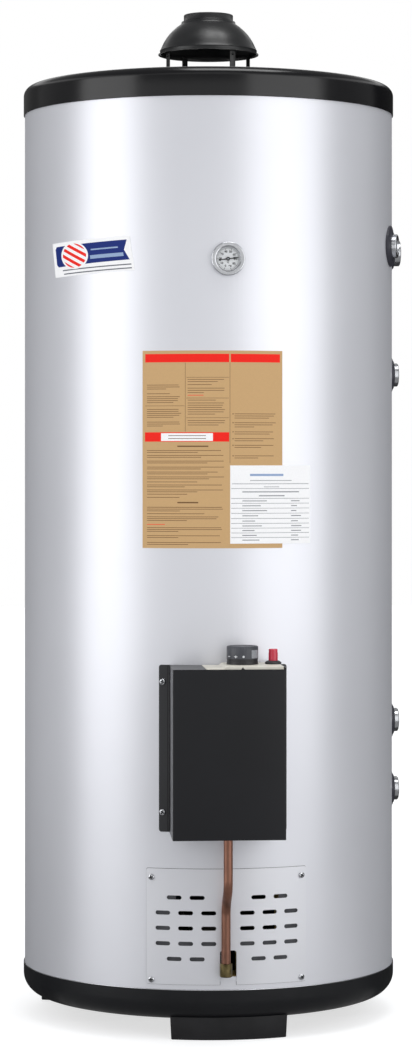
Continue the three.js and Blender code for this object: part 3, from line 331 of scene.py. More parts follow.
def drift_roughness(material, pattern, low, high):
    """Lets the gloss move between two values with a pattern."""
    tree = material.node_tree
    span = add_node(tree, "ShaderNodeMapRange", value=pattern, from_min=0.3, from_max=0.7,
                    to_min=low, to_max=high)
    tree.links.new(span.outputs["Result"], tree.nodes["Principled BSDF"].inputs["Roughness"])


def raise_skin(material, pattern, height):
    """Gives the surface a bump of a real height in millimetres."""
    tree = material.node_tree
    bump = add_node(tree, "ShaderNodeBump", height=pattern, distance=height * MM)
    tree.links.new(bump.outputs["Normal"], tree.nodes["Principled BSDF"].inputs["Normal"])


def finish(name, low, high, cloud, metallic=0, gloss=0.5, skin=None, stretch=(1, 1, 1), detail=3,
           **sockets):
    """Makes a finish whose colour drifts between two shades, with a noise of the cloud's scale.

    The gloss is one roughness, or the scale of a noise with two and, where given, its detail. A
    skin is the scale of a noise and its height. Other sockets go by name."""
    material = bpy.data.materials.new(name)
    material.use_nodes = True
    shader = material.node_tree.nodes["Principled BSDF"].inputs
    shader["Base Color"].default_value = paint(*low)
    shader["Metallic"].default_value = metallic
    for socket, value in sockets.items():
        shader[socket_name(socket)].default_value = value
    if low != high:
        drift_colour(material, noise_on(material, cloud, stretch, detail), paint(*low), paint(*high))
    if isinstance(gloss, tuple):
        grain, smooth, rough, *rest = gloss
        drift_roughness(material, noise_on(material, grain, (1, 1, 1), *rest), smooth, rough)
    else:
        shader["Roughness"].default_value = gloss
    if skin:
        raise_skin(material, noise_on(material, skin[0]), skin[1])
    finishes[name] = material
    return material


# %% [markdown]
# The jacket is sheet steel with a silver powder coat: metal flakes in a clear binder. Half of its
# light is a wide metal sheen and half is plain scatter, and the flakes make the gloss uneven at
# the scale of a millimetre.
#
# The black pressings differ in gloss. The lid is enamelled and mirrors the soft boxes, the base
# and the hood have a satin powder coat with the fine skin of an orange, and the control's box
# lies between them.

# %% Silver and black coats
finish("jacket_silver", (220, 221, 227), (224, 225, 231), 3, 0.5, (900, 0.36, 0.43, 2), (260, 0.006))
finish("plate_silver", (221, 222, 228), (226, 227, 232), 5, 0.5, (900, 0.33, 0.41, 2), (260, 0.006))
finish("lid_black", (7, 7, 10), (10, 10, 13), 6, 0, (60, 0.19, 0.22), (70, 0.001),
       specular_ior_level=0.42)
finish("base_black", (19, 20, 23), (23, 24, 27), 8, 0, (50, 0.32, 0.42), (420, 0.02),
       specular_ior_level=0.28)
finish("hood_black", (16, 17, 19), (21, 22, 24), 12, 0, (60, 0.3, 0.4), (420, 0.02))
finish("cover_black", (14, 15, 20), (17, 18, 23), 9, 0, (220, 0.29, 0.32), (520, 0.012),
       specular_ior_level=0.32)
# The flanges take a lighter copy of the box's black: painted light where the lamps fall on them.
finish("flange_painted_light", (31, 32, 36), (35, 36, 40), 9, 0, (220, 0.32, 0.37), (520, 0.012))
finish("foot_black", (27, 27, 29), (33, 33, 35), 30, 0, 0.55, (700, 0.04), specular_ior_level=0.25)
finish("rosette_black", (49, 49, 57), (56, 56, 64), 40, 0, 0.42, (900, 0.015),
       specular_ior_level=0.35)
print("coats", len(finishes))

# %% [markdown]
# Small metal parts: zinc is bright with a cloudy gloss, chrome is a mirror, the copper tube has
# gone brown from handling, and the brass is a little dull.

# %% Metals
finish("zinc_steel", (202, 204, 208), (214, 216, 220), 90, 1, (160, 0.18, 0.27))
finish("bezel_chrome", (198, 200, 204), (207, 209, 213), 90, 1, (300, 0.17, 0.26))
# The dark steel inside the screws' cross recess is painted shade.
finish("recess_painted_shade", (70, 71, 75), (70, 71, 75), 1, 1, (400, 0.42, 0.58))
finish("pipe_copper", (130, 94, 80), (166, 120, 102), 60, 1, (140, 0.28, 0.48),
       stretch=(1, 1, 0.25))
finish("brass_fitting", (98, 88, 60), (146, 131, 92), 90, 1, (260, 0.3, 0.5))
finish("valve_aluminium", (160, 162, 166), (188, 190, 194), 60, 1, 0.5, (500, 0.06))
finish("burner_steel", (96, 92, 92), (142, 138, 132), 25, 1, (120, 0.4, 0.62))
# A dark grey for the sheet behind the burner cover's slots is painted shade.
finish("shield_steel", (52, 53, 57), (72, 73, 77), 40, 0.3, (120, 0.42, 0.58))
finish("flue_steel", (140, 142, 147), (174, 176, 180), 70, 1, (110, 0.34, 0.5))
finish("magnesium", (132, 134, 137), (166, 168, 171), 80, 1, 0.6, (300, 0.08))
finish("tank_enamel", (38, 54, 70), (50, 70, 86), 30, 0, 0.25, (90, 0.03), coat_weight=1)
print("finishes with the metals", len(finishes))

# %% [markdown]
# Plastics, foam, glass and paper. Moulded plastic has a fine spark-eroded skin. The foam is a
# cellular solid, and the glass lets the dial through. A printed paper is a flat colour with the
# faint cloud of its fibres.

# %% Plastics, glass and paper
finish("valve_cream", (203, 200, 189), (210, 207, 197), 30, 0, 0.5, (900, 0.03))
finish("knob_grey", (58, 60, 67), (67, 69, 76), 60, 0, 0.42, (1100, 0.03))
finish("igniter_black", (28, 28, 32), (34, 34, 38), 70, 0, 0.4, (1100, 0.02))
finish("button_red", (188, 26, 56), (206, 36, 70), 90, 0, 0.28, coat_weight=0.4)
finish("dial_white", (246, 247, 249), (251, 252, 254), 60, 0, 0.45)
finish("needle_black", (22, 22, 25), (28, 28, 31), 200, 0, 0.4)
finish("gauge_glass", (150, 158, 160), (150, 158, 160), 1, 0, (60, 0.01, 0.04), alpha=0.05)
finish("insulation_foam", (190, 168, 108), (220, 202, 148), 160, 0, 0.85, (260, 0.6))
finish("mark_grey", (136, 138, 144), (148, 150, 156), 300)
finish("mark_white", (196, 198, 202), (214, 216, 220), 300)
papers = {
    "paper_kraft": (203, 166, 118), "paper_white": (252, 252, 253), "ink_red": (246, 32, 18),
    "ink_brown": (112, 82, 52), "ink_grey": (104, 108, 116), "ink_blue": (14, 40, 118),
    "ink_pale_blue": (150, 172, 206),
}
fibre_drift = 0.007
for name, colour in papers.items():
    low = [part * (1 - fibre_drift) for part in colour]
    high = [min(255, part * (1 + fibre_drift)) for part in colour]
    finish(name, low, high, 400, 0, 0.55, detail=5, specular_ior_level=0.2)
print("finishes", len(finishes))

# %% [markdown]
# ## Floor
# The floor is pale card. A glow is added for the camera, gloss and glass alone, so that it meets
# the white background without an edge, keeps the shadow and throws little light at the heater.

# %% Floor
floor_half = 14000
floor_grey = (188, 189, 191)
floor_glow = 0.66
floor_card = finish("floor_card", floor_grey, floor_grey, 1, 0, 0.9)
tree = floor_card.node_tree
glow = add_node(tree, "ShaderNodeEmission", strength=floor_glow)
plain = tree.nodes["Principled BSDF"].outputs[0]
glowing = add_node(tree, "ShaderNodeAddShader", plain, glow.outputs[0])
show_apart(tree, plain, glowing.outputs[0], "Material Output")
floor_mesh = bmesh.new()
bmesh.ops.create_grid(floor_mesh, x_segments=1, y_segments=1, size=floor_half)
floor = new_object("floor", floor_mesh)
floor.data.materials.append(floor_card)
floor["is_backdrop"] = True
print("floor", floor.dimensions.x, "m across")

# %% [markdown]
# ## Helpers for shapes
# Most of the heater is round, so most pieces are a profile that is spun once about an axis. The
# helpers below spin a profile, lay a spun shape outwards from the tank, cut holes, and finish a
# mesh as a piece that stands for its CAD node.

# %% Spin, lay, cut and finish


def arc(radius, height, bend, start, end, steps=8):
    """Gives points of a round corner about (radius, height), from one angle in degrees to another."""
    points = []
    for i in range(steps + 1):
        angle = math.radians(start + (end - start) * i / steps)
        points.append((radius + bend * math.cos(angle), height + bend * math.sin(angle)))
    return points


def faced_out(bm):
    """Points all faces outwards."""
    bmesh.ops.recalc_face_normals(bm, faces=bm.faces)
    return bm


def inked(bm, number, test=lambda place: True):
    """Gives another finish to the faces whose middle passes a test."""
    for face in bm.faces:
        if test(face.calc_center_median()):
            face.material_index = number
    return bm


def spun(profile, steps=96, closed=True):
    """Spins a profile of (radius, height) points once about Z and points its faces outwards."""
    bm = bmesh.new()
    points = [bm.verts.new((radius, 0, height)) for radius, height in profile]
    pairs = list(zip(points, points[1:]))
    if closed:
        pairs.append((points[-1], points[0]))
    edges = [bm.edges.new(pair) for pair in pairs]
    spin(bm, points + edges, FULL_TURN, steps, merge=True)
    bmesh.ops.remove_doubles(bm, verts=bm.verts, dist=0.001)
    bmesh.ops.dissolve_degenerate(bm, edges=bm.edges, dist=0.001)
    return faced_out(bm)


def turn(bm, angle, axis="Z"):
    """Turns a whole mesh about an axis through the origin."""
    bmesh.ops.rotate(bm, cent=(0, 0, 0), matrix=Matrix.Rotation(angle, 3, axis), verts=bm.verts)
    return bm


def move(bm, x=0, y=0, z=0):
    """Moves a whole mesh."""
    bmesh.ops.translate(bm, vec=(x, y, z), verts=bm.verts)
    return bm


def outwards(bm, azimuth=0, height=0):
    """Lays a shape that stands on Z outwards from the tank, at an azimuth in degrees."""
    turn(bm, QUARTER_TURN, "X")
    turn(bm, math.radians(azimuth))
    return move(bm, z=height)


def joined(*parts):
    """Puts several meshes into one."""
    whole = bmesh.new()
    for part in parts:
        mesh = bpy.data.meshes.new("part")
        part.to_mesh(mesh)
        part.free()
        whole.from_mesh(mesh)
        bpy.data.meshes.remove(mesh)
    return whole


def carved(bm, *cutters):
    """Cuts closed shapes out of a closed mesh with an exact Boolean."""
    body = new_object("body", bm, 1)
    tool = new_object("tool", joined(*cutters), 1)
    cut = body.modifiers.new("cut", "BOOLEAN")
    cut.operation = "DIFFERENCE"
    cut.solver = "EXACT"
    cut.object = tool
    cut.use_self = True
    depsgraph = bpy.context.evaluated_depsgraph_get()
    result = bmesh.new()
    result.from_object(body, depsgraph)
    for obj in (body, tool):
        mesh = obj.data
        bpy.data.objects.remove(obj)
        bpy.data.meshes.remove(mesh)
    return result


def block(left, right, front, back, bottom, top):
    """Makes a box from a cube."""
    bm = bmesh.new()
    bmesh.ops.create_cube(bm, size=1)
    bmesh.ops.scale(bm, vec=(right - left, back - front, top - bottom), verts=bm.verts)
    return move(bm, (left + right) / 2, (front + back) / 2, (bottom + top) / 2)


def edges_bent(bm, angle):
    """Gives the edges whose faces meet at more than an angle in degrees."""
    limit = math.radians(angle)
    return [e for e in bm.edges if len(e.link_faces) == 2 and e.calc_face_angle(0) > limit]


def bevelled(bm, geom, width, segments, affect="EDGES", clamp=False):
    """Rounds the given edges, or corners, of a mesh."""
    bmesh.ops.bevel(bm, geom=geom, offset=width, offset_type="OFFSET", segments=segments,
                    profile=0.5, affect=affect, material=-1, clamp_overlap=clamp)
    return bm


def eased(bm, width, segments=2, angle=30):
    """Rounds the sharp edges of a mesh."""
    return bevelled(bm, edges_bent(bm, angle), width, segments, clamp=True)


def piece(name, bm, looks, *nodes, body="root", slot="", sharp=32):
    """Finishes a mesh as a piece in metres, which rides on a body and stands for CAD nodes.

    The slot argument is not used."""
    for face in bm.faces:
        face.smooth = True
    obj = new_object(name, bm)
    obj.data.set_sharp_from_angle(angle=math.radians(sharp))
    looks = looks if isinstance(looks, list) else [looks]
    for look in looks:
        obj.data.materials.append(finishes[look])
    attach(obj, body)
    if nodes:
        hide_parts(*nodes)
    print(name, len(obj.data.polygons), "faces")
    return obj


def rod(radius, start, end, segments=48):
    """Makes a plain round cutter or shaft along Z."""
    bm = bmesh.new()
    bmesh.ops.create_cone(bm, cap_ends=True, segments=segments, radius1=radius, radius2=radius,
                          depth=end - start)
    return move(bm, z=(start + end) / 2)


def pulled(bm, edges, way):
    """Pulls edges out into faces and gives the new points and the new far edges."""
    grown = bmesh.ops.extrude_edge_only(bm, edges=edges)["geom"]
    verts = [part for part in grown if isinstance(part, bmesh.types.BMVert)]
    bmesh.ops.translate(bm, vec=way, verts=verts)
    return verts, [part for part in grown if isinstance(part, bmesh.types.BMEdge)
                   and all(v in verts for v in part.verts)]


def slab(outline, near, far, number=0, corner=0, steps=6):
    """Makes a closed plate that faces the front from an outline of (x, z), between two depths."""
    bm = bmesh.new()
    bm.faces.new([bm.verts.new((x, -near, z)) for x, z in outline])
    if corner:
        bevelled(bm, bm.verts[:], corner, steps, "VERTICES")
    grown = bmesh.ops.extrude_face_region(bm, geom=bm.faces[:])["geom"]
    moved = [part for part in grown if isinstance(part, bmesh.types.BMVert)]
    bmesh.ops.translate(bm, vec=(0, near - far, 0), verts=moved)
    return inked(faced_out(bm), number)


def band(left, right, bottom, top):
    """Gives the outline of an upright rectangle."""
    return [(left, bottom), (right, bottom), (right, top), (left, top)]


def rounded_panel(left, right, bottom, top, corner, near, far, steps=6):
    """Makes an upright rectangular plate with round corners, between two depths along -Y."""
    return slab(band(left, right, bottom, top), near, far, 0, corner, steps)


# %% [markdown]
# ## Jacket
# One steel sheet is rolled to a cylinder and locked in a folded seam down the back. The holes for
# the dial, the connections, the gas control and the burner are punched before it is rolled. Here
# the wall is a spun tube, and the holes are cut with Booleans. Their fine rims need no extra
# loops, because each strip of the tube is flat.

# %% Jacket
round_steps = 240
jacket_sheet = 1.2
port_numbers = [1, 2, 3, 4, 5]
port_azimuth = {number: 90 for number in port_numbers}
port_azimuth[1] = 72
port_height = {}
port_radius = {}
for number in port_numbers:
    low, high = cad_size(f"port_socket_{number}")
    port_height[number] = (low.z + high.z) / 2
    port_radius[number] = (high.z - low.z) / 2
case_low, case_high = cad_size("thermometer_case")
dial_height = (case_low.z + case_high.z) / 2
dial_hole_radius = 24
port_hole_margin = 3
shank_radius = 14
shank_place = (24, 478)
box_azimuth = math.radians(-1.3)
window_half = 116
window_bottom = 108
window_top = 238
opening_half = 80
opening_top = 234
opening_shoulder = 160
opening_neck_half = 17
opening_foot = 100
tool_start = 250
tool_end = 330

wall = spun([
    (jacket_radius, jacket_low.z), (jacket_radius, jacket_high.z),
    (jacket_radius - jacket_sheet, jacket_high.z), (jacket_radius - jacket_sheet, jacket_low.z),
], round_steps)
tools = [outwards(rod(port_radius[n] + port_hole_margin, tool_start, tool_end), port_azimuth[n],
                  port_height[n]) for n in port_numbers]
tools.append(outwards(rod(dial_hole_radius, tool_start, tool_end), 0, dial_height))
shank_tool = outwards(rod(shank_radius + port_hole_margin, tool_start, tool_end))
move(shank_tool, x=shank_place[0], z=shank_place[1])
tools.append(turn(shank_tool, box_azimuth))
jacket = carved(wall, *tools)
# The window behind the burner cover is cut wider than the burner's opening, so that the dark sheet of
# painted shade shows through the outer slots.
window_across = math.sin(window_half / jacket_radius) * jacket_radius
jacket = carved(jacket, rounded_panel(-window_across, window_across, window_bottom, window_top,
                                      4, tool_start, tool_end))
jacket = carved(jacket, rounded_panel(-opening_neck_half, opening_neck_half, opening_foot,
                                      window_bottom + 3, 2, tool_start, tool_end))
piece("jacket_wall", jacket, "jacket_silver", "jacket", sharp=25)

# %% Jacket's lock seam
seam_width = 9
seam_rise = 0.9
seam_tuck = 6
seam_edge = 0.6
seam = block(-seam_width / 2, seam_width / 2, jacket_radius - 1, jacket_radius + seam_rise,
             base_high.z - seam_tuck, lid_low.z + seam_tuck)
eased(seam, seam_edge, 3)
piece("jacket_seam", seam, "jacket_silver")

# %% [markdown]
# ## Lid and base
# Both are deep drawn steel. The lid laps over the jacket and has a soft upper corner that catches
# the top light as a thin line. The base is a pan with a generous lower corner, and a bright zinc
# ring on its upper edge is a painted highlight of that edge.

# %% Lid
lid_corner = 15
lid_hem = 0.7
flue_low, flue_high = cad_size("flue_tube")
flue_radius = -flue_low.y
lid_hole = flue_radius + 0.9
corner_centre = (casing_radius - lid_corner, lid_high.z - lid_corner)
lid_profile = arc(casing_radius - lid_hem, lid_low.z + lid_hem, lid_hem, -90, 0, 3)
lid_profile += arc(*corner_centre, lid_corner, 0, 90, 14)
lid_profile += [(lid_hole + 60, lid_high.z), (lid_hole + 3, lid_high.z)]
lid_profile += arc(lid_hole + 3, lid_high.z + 1.5, 1.5, -90, -180, 4)
lid_profile += [(lid_hole + 1.4, lid_high.z + 1.6), (lid_hole, lid_high.z + 1.6)]
lid_profile += [(lid_hole, lid_high.z - casing_sheet)]
lid_profile += arc(*corner_centre, lid_corner - casing_sheet, 90, 0, 8)
lid_profile += [(casing_radius - casing_sheet, lid_low.z + lid_hem)]
piece("lid_pressing", spun(lid_profile, round_steps), "lid_black", "top_lid", sharp=40)

# %% Base, and a bright ring on its edge as a painted highlight
base_corner = 32
base_centre = (casing_radius - base_corner, base_low.z + base_corner)
base_profile = [(0, base_low.z), (base_centre[0] * 0.6, base_low.z)]
base_profile += arc(*base_centre, base_corner, -90, 0, 16)
base_profile += [(casing_radius, base_high.z - 0.4), (casing_radius - 0.4, base_high.z)]
base_profile += [(casing_radius - casing_sheet, base_high.z)]
base_profile += arc(*base_centre, base_corner - casing_sheet, 0, -90, 10)
base_profile += [(0, base_low.z + casing_sheet)]
piece("base_pressing", spun(base_profile, round_steps, closed=False), "base_black", "base_pan",
      sharp=40)

highlight_ring_section = 0.8
# This bright zinc ring on the base's upper edge is a painted highlight of that edge.
lip = spun(arc(casing_radius - highlight_ring_section, base_high.z + 0.2, highlight_ring_section, 0, 315, 7), round_steps)
piece("base_edge_highlight", lip, "zinc_steel", sharp=80)

# %% [markdown]
# ## Feet
# Each foot is a moulded block that follows the rim. Its cross section is spun through a part of a
# turn, closed at both ends, and its edges are eased, as a mould needs them.

# %% Feet
foot_radius = casing_radius - 15
foot_depth = 42
foot_half_width = 91.3
foot_taper = 1.8
foot_steps = 20
foot_edge = 1.4
foot_azimuths = {"front": 0.9, "right": 128.5, "left": 231.5}
foot_half_angle = math.asin(foot_half_width / foot_radius)


def foot_block():
    """Spins the section of a foot under the curve of the base."""
    bm = bmesh.new()
    under = base_low.z - sheet_gap
    section = [(foot_radius - foot_depth, 0), (foot_radius, 0)]
    for i in range(7):
        radius = foot_radius - (foot_radius - base_centre[0]) * i / 6
        reach = (base_corner + sheet_gap) ** 2 - (radius - base_centre[0]) ** 2
        section.append((radius, base_centre[1] - math.sqrt(reach)))
    section.append((foot_radius - foot_depth, under))
    corners = [bm.verts.new((0, -radius, height)) for radius, height in section]
    start = bm.faces.new(corners)
    turned = Matrix.Rotation(-foot_half_angle, 3, "Z")
    bmesh.ops.rotate(bm, cent=(0, 0, 0), matrix=turned, verts=bm.verts)
    spin(bm, [start, *start.edges, *start.verts], foot_half_angle * 2, foot_steps)
    bmesh.ops.remove_doubles(bm, verts=bm.verts, dist=0.001)
    ground = [v for v in bm.verts if v.co.z < 1]
    bmesh.ops.scale(bm, vec=(1 - foot_taper / foot_half_width, 1, 1), verts=ground)
    return eased(faced_out(bm), foot_edge, 3, 40)


for place, azimuth in foot_azimuths.items():
    foot = turn(foot_block(), math.radians(azimuth))
    piece(f"foot_block_{place}", foot, "foot_black", f"foot_{place}")

# %% [markdown]
# ## Draught hood
# Burnt gas rises through the hood, and room air enters under its skirt, so the chimney's pull
# can't disturb the flame. The cap is spun from one sheet: a collar for the pipe, a ledge, a
# flared dome, and a rolled bead above its lip.

# %% Draught hood
hood_low, hood_high = cad_size("draft_hood")
hood_rim = hood_low.z
hood_sheet = 1.2
rim_radius = -hood_low.y
collar_radius = 40
dome = [(79.2, 1.5), (78.5, 5.6), (79.1, 6.9), (78.3, 8.0), (76.6, 11.5), (74.4, 16.5),
        (71.6, 22), (68.0, 27.6), (63.6, 33.4), (58.2, 39), (51.6, 45), (46.2, 48.8),
        (44.4, 50.4), (43.9, 52.6), (43.4, 53.9), (40.8, 54.6), (40, 55.6)]
hood_outside = [(rim_radius, 0), (rim_radius, 1.1)] + dome
hood_outside += [(collar_radius, 63.6), (collar_radius - 0.3, 64.7), (collar_radius - 0.7, 65)]
hood_inside = [(radius - hood_sheet, height) for radius, height in reversed(hood_outside)]
hood = spun(hood_outside + hood_inside, 128)
move(hood, z=hood_rim)
piece("hood_cap", hood, "hood_black", "draft_hood", sharp=50)

# %% Hood's straps, each with a rivet
strap_azimuths = [25, 115, 205, 295]
strap_width = 10
strap_sheet = 1.5
strap_overlap = 6.5
strap_outside = 76.4
strap_tab = 14
strap_edge = 0.3
leg_rivet_radius = 2.2
leg_rivet_drop = 6
tab_rivet_radius = 2.6
tab_rivet_inset = 9


def strap():
    """Folds a flat strip: a tab on the lid and a leg up to the skirt."""
    bm = bmesh.new()
    foot = lid_high.z + sheet_gap
    top = hood_rim + strap_overlap
    line = [(strap_outside - strap_sheet - strap_tab, foot), (strap_outside, foot),
            (strap_outside, top)]
    points = [bm.verts.new((-strap_width / 2, -radius, height)) for radius, height in line]
    edges = [bm.edges.new(pair) for pair in zip(points, points[1:])]
    pulled(bm, edges, (strap_width, 0, 0))
    faced_out(bm)
    bmesh.ops.solidify(bm, geom=bm.faces[:], thickness=strap_sheet)
    return eased(bm, strap_edge, 2, 40)


def rivet(radius):
    """Spins the round head of a rivet, which stands on Z."""
    return spun([(0, 0), (radius, 0)] + arc(0, 0, radius, 10, 90, 5), 16, closed=False)


for number, azimuth in enumerate(strap_azimuths, 1):
    leg_rivet = turn(rivet(leg_rivet_radius), QUARTER_TURN, "X")
    move(leg_rivet, y=-strap_outside, z=hood_rim - leg_rivet_drop)
    tab_rivet = rivet(tab_rivet_radius)
    move(tab_rivet, y=tab_rivet_inset - strap_outside, z=lid_high.z + sheet_gap + strap_sheet)
    whole = turn(joined(strap(), leg_rivet, tab_rivet), math.radians(azimuth))
    piece(f"hood_strap_{number}", whole, "hood_black", f"hood_leg_{number}")

# %% Flue's end under the hood
flue_wall = 2.5
flue = spun([(flue_radius, flue_low.z), (flue_radius, flue_high.z - 0.6),
             (flue_radius - 0.6, flue_high.z), (flue_radius - flue_wall, flue_high.z),
             (flue_radius - flue_wall, flue_low.z)], 96)
piece("flue_pipe", flue, "flue_steel", "flue_tube")

# %% [markdown]
# ## Side connections
# Each socket is a steel pipe end welded through the tank wall, with a thread cut inside for the
# installer's pipe. A moulded rosette hides the hole in the jacket. Both are spun profiles laid
# outwards at their azimuth, and the thread is a saw-tooth line in the socket's profile.

# %% Sockets and rosettes
socket_bore = 12
socket_start = 233
socket_reach = {1: 13, 2: 16, 3: 13, 4: 13, 5: 13}
socket_ease = 1.2
thread_pitch = 2.3
thread_depth = 1.1
thread_turns = 7
rosette_foot = jacket_radius - 1.6
rosette_rise = 5.5


def socket(number):
    """Spins a socket with a threaded mouth."""
    radius = port_radius[number]
    end = jacket_radius + socket_reach[number]
    profile = [(radius, socket_start), (radius, end - socket_ease), (radius - socket_ease, end),
               (socket_bore + 1.6, end)]
    for i in range(thread_turns):
        depth = end - 1.4 - i * thread_pitch
        profile += [(socket_bore + thread_depth, depth), (socket_bore, depth - thread_pitch / 2)]
    profile.append((socket_bore, socket_start))
    return outwards(spun(profile, 64), port_azimuth[number], port_height[number])


def rosette(number):
    """Spins a low dished ring round a socket."""
    low, high = cad_size(f"port_rosette_{number}")
    rim = (high.z - low.z) / 2
    bore = port_radius[number] + sheet_gap
    top = jacket_radius + rosette_rise
    edge = jacket_radius + 2.3
    profile = [(bore, rosette_foot), (bore, top - 0.6), (bore + 0.6, top), (bore + 3.6, top)]
    profile += [(bore + 4.4, top - 0.5), (rim - 3.4, edge + 0.9)]
    profile += arc(rim - 1.2, edge - 0.6, 1.2, 70, 0, 4)
    profile += [(rim, rosette_foot)]
    return outwards(spun(profile, 80), port_azimuth[number], port_height[number])


for number in port_numbers:
    piece(f"pipe_socket_{number}", socket(number), "zinc_steel", f"port_socket_{number}")
    piece(f"rosette_ring_{number}", rosette(number), "rosette_black", f"port_rosette_{number}")

# %% [markdown]
# ## Thermometer
# A round case sits in the jacket with a chromed bezel, a white dial a few millimetres deep, a
# needle on its spindle and a glass. The bezel has a groove and slopes in to its window, and the
# dial lies deep, because that shadow makes it read as an instrument.

# %% Thermometer case
case_back = jacket_radius - 13
case_radius = 23.7
bezel_radius = 26
bezel_face = jacket_radius + 6.5
case_bore = 22.5
window_radius = 18.4
glass_thickness = 2
glass_foot = bezel_face - 4
dial_top = glass_foot - 4
case_profile = [(0, case_back), (case_radius, case_back), (case_radius, outer_face),
                (bezel_radius - 0.5, outer_face), (bezel_radius - 0.5, outer_face + 0.8),
                (bezel_radius, outer_face + 1.1)]
case_profile += arc(bezel_radius - 1.8, bezel_face - 1.8, 1.8, 0, 90, 12)
case_profile += [(bezel_radius - 2.6, bezel_face), (bezel_radius - 2.7, bezel_face - 0.6),
                 (bezel_radius - 3.2, bezel_face - 0.6), (bezel_radius - 3.3, bezel_face - 0.1)]
case_profile += [(20.4, bezel_face - 0.2), (19.4, bezel_face - 0.55),
                 (window_radius + 0.2, bezel_face - 1.5), (window_radius, bezel_face - 1.9),
                 (case_bore, bezel_face - 1.9)]
case_profile += [(case_bore, dial_top - 1.3), (case_bore - 2.5, dial_top - 1.3)]
case_profile += [(case_bore - 2.5, case_back + 2), (1, case_back + 2), (1, dial_top + 3),
                 (0, dial_top + 3)]
stem_tip = jacket_radius - 99
case = joined(spun(case_profile, 96, closed=False), rod(4, stem_tip, case_back + 1, 24))
piece("thermometer_housing", outwards(case, 0, dial_height), "bezel_chrome", "thermometer_case",
      sharp=10)

# %% Dial with its ticks and numbers
dial_radius = case_bore - 0.3
scale_edge = window_radius - 0.9
scale_start = math.radians(250)
scale_end = math.radians(-74)
scale_steps = 45
number_step = 10
number_radius = 11.6
number_size = 4.4
number_weight = 0.16
ink_thickness = 0.06


def flat_text(words, size, x, y, level):
    """Makes flat letters from a text object, as a mesh in the plane of the dial."""
    curve = bpy.data.curves.new("letters", "FONT")
    curve.body = words
    curve.size = size
    curve.align_x = "CENTER"
    curve.align_y = "CENTER"
    curve.offset = number_weight
    curve.extrude = ink_thickness / 2
    obj = bpy.data.objects.new("letters", curve)
    bpy.context.scene.collection.objects.link(obj)
    bpy.context.view_layer.update()
    mesh = bpy.data.meshes.new_from_object(obj)
    bpy.data.objects.remove(obj)
    bpy.data.curves.remove(curve)
    bm = bmesh.new()
    bm.from_mesh(mesh)
    bpy.data.meshes.remove(mesh)
    return move(bm, x, y, level)


printing = []
for i in range(scale_steps + 1):
    angle = scale_start + (scale_end - scale_start) * i / scale_steps
    long_tick = i % 5 == 0
    length = 3.2 if long_tick else 1.9
    half = 0.3 if long_tick else 0.14
    tick = block(scale_edge - length, scale_edge, -half, half, 0, ink_thickness)
    printing.append(turn(tick, angle))
    if long_tick:
        words = str(i // 5 * number_step)
        x, y = number_radius * math.cos(angle), number_radius * math.sin(angle)
        printing.append(flat_text(words, number_size, x, y, ink_thickness / 2))
printing.append(flat_text("°C", 3.2, 0, -5.6, ink_thickness / 2))
ink = joined(*printing)
disc = spun([(0, 0), (1.4, 0), (dial_radius, 0), (dial_radius, -1), (1.4, -1), (0, -1)], 72,
            closed=False)
dial = joined(disc, inked(ink, 1))
move(dial, z=dial_top)
piece("dial_face", outwards(dial, 0, dial_height), ["dial_white", "needle_black"],
      "thermometer_dial", sharp=30)

# %% Needle
needle_foot = dial_top + 0.5
needle_tip = 17.9
needle_tail = 12.4
needle_rest = math.radians(7)
hand_thickness = 0.7
hand_line = [(-needle_tail, -0.6), (0, -0.9), (8.6, -0.7), (8.6, -2.0), (needle_tip, 0),
             (8.6, 2.0), (8.6, 0.7), (0, 0.9), (-needle_tail, 0.6)]
hand = slab(hand_line, needle_foot, needle_foot + hand_thickness)
turn(hand, -QUARTER_TURN, "X")
weight = move(rod(1.8, needle_foot, needle_foot + 0.8, 32), x=-needle_tail)
hub = spun([(0, needle_foot), (3.0, needle_foot), (3.0, needle_foot + 1.6)]
           + arc(2.4, needle_foot + 1.6, 0.6, 0, 90, 3) + [(0, needle_foot + 2.2)], 32,
           closed=False)
needle = turn(joined(hand, weight, hub), needle_rest)
piece("dial_hand", outwards(needle, 0, dial_height), "needle_black", "thermometer_needle",
      body="needle")

# %% Glass
glass_radius = case_bore - 0.3
glass = spun([(0, glass_foot), (glass_radius, glass_foot), (glass_radius, glass_foot + 1.2),
              (glass_radius * 0.8, glass_foot + 1.6), (glass_radius * 0.5, glass_foot + 1.85),
              (0, glass_foot + glass_thickness)], 72, closed=False)
piece("dial_lens", outwards(glass, 0, dial_height), "gauge_glass", "thermometer_glass", sharp=60)

# %% [markdown]
# ## Burner cover
# A slotted plate closes the way to the burner and lets air in. A maker stamps it flat and rolls
# it after, and so does this cell: the flat plate is cut, scored with upright lines every few
# millimetres, and then each point is bent round the tank.

# %% Burner cover
plate_bottom, plate_top = cad_size("vent_plate")[0].z, cad_size("vent_plate")[1].z
plate_half_angle = math.radians(24.35)
plate_sheet = 1.2
plate_half = outer_face * plate_half_angle
slot_length = 23
slot_height = 6.3
slot_top_inset = 43.9
slot_rows = 5
slot_row_pitch = 23.5
slots_per_half_row = 3
slot_first_angle = 5.7
slot_step_angle = 6.8
notch_left, notch_right = -12.5, 12.8
notch_height = 52.5
bend_step = 5
cutter_near, cutter_far = -2, 4


def bent_round(bm, radius, step=bend_step):
    """Scores a flat mesh that faces the front with upright lines and bends it round the tank."""
    reach = max(abs(v.co.x) for v in bm.verts)
    lines = int(reach / step) + 1
    for i in range(-lines, lines + 1):
        bmesh.ops.bisect_plane(bm, geom=[*bm.verts, *bm.edges, *bm.faces], dist=0.0001,
                               plane_co=(i * step, 0, 0), plane_no=(1, 0, 0))
    for vert in bm.verts:
        angle = vert.co.x / radius
        reach = radius - vert.co.y
        vert.co = (reach * math.sin(angle), -reach * math.cos(angle), vert.co.z)
    return bm


def cutter(left, right, bottom, top, corner=0):
    """Makes an upright cutter that passes through a thin plate which lies at zero depth."""
    return rounded_panel(left, right, bottom, top, corner, cutter_near, cutter_far)


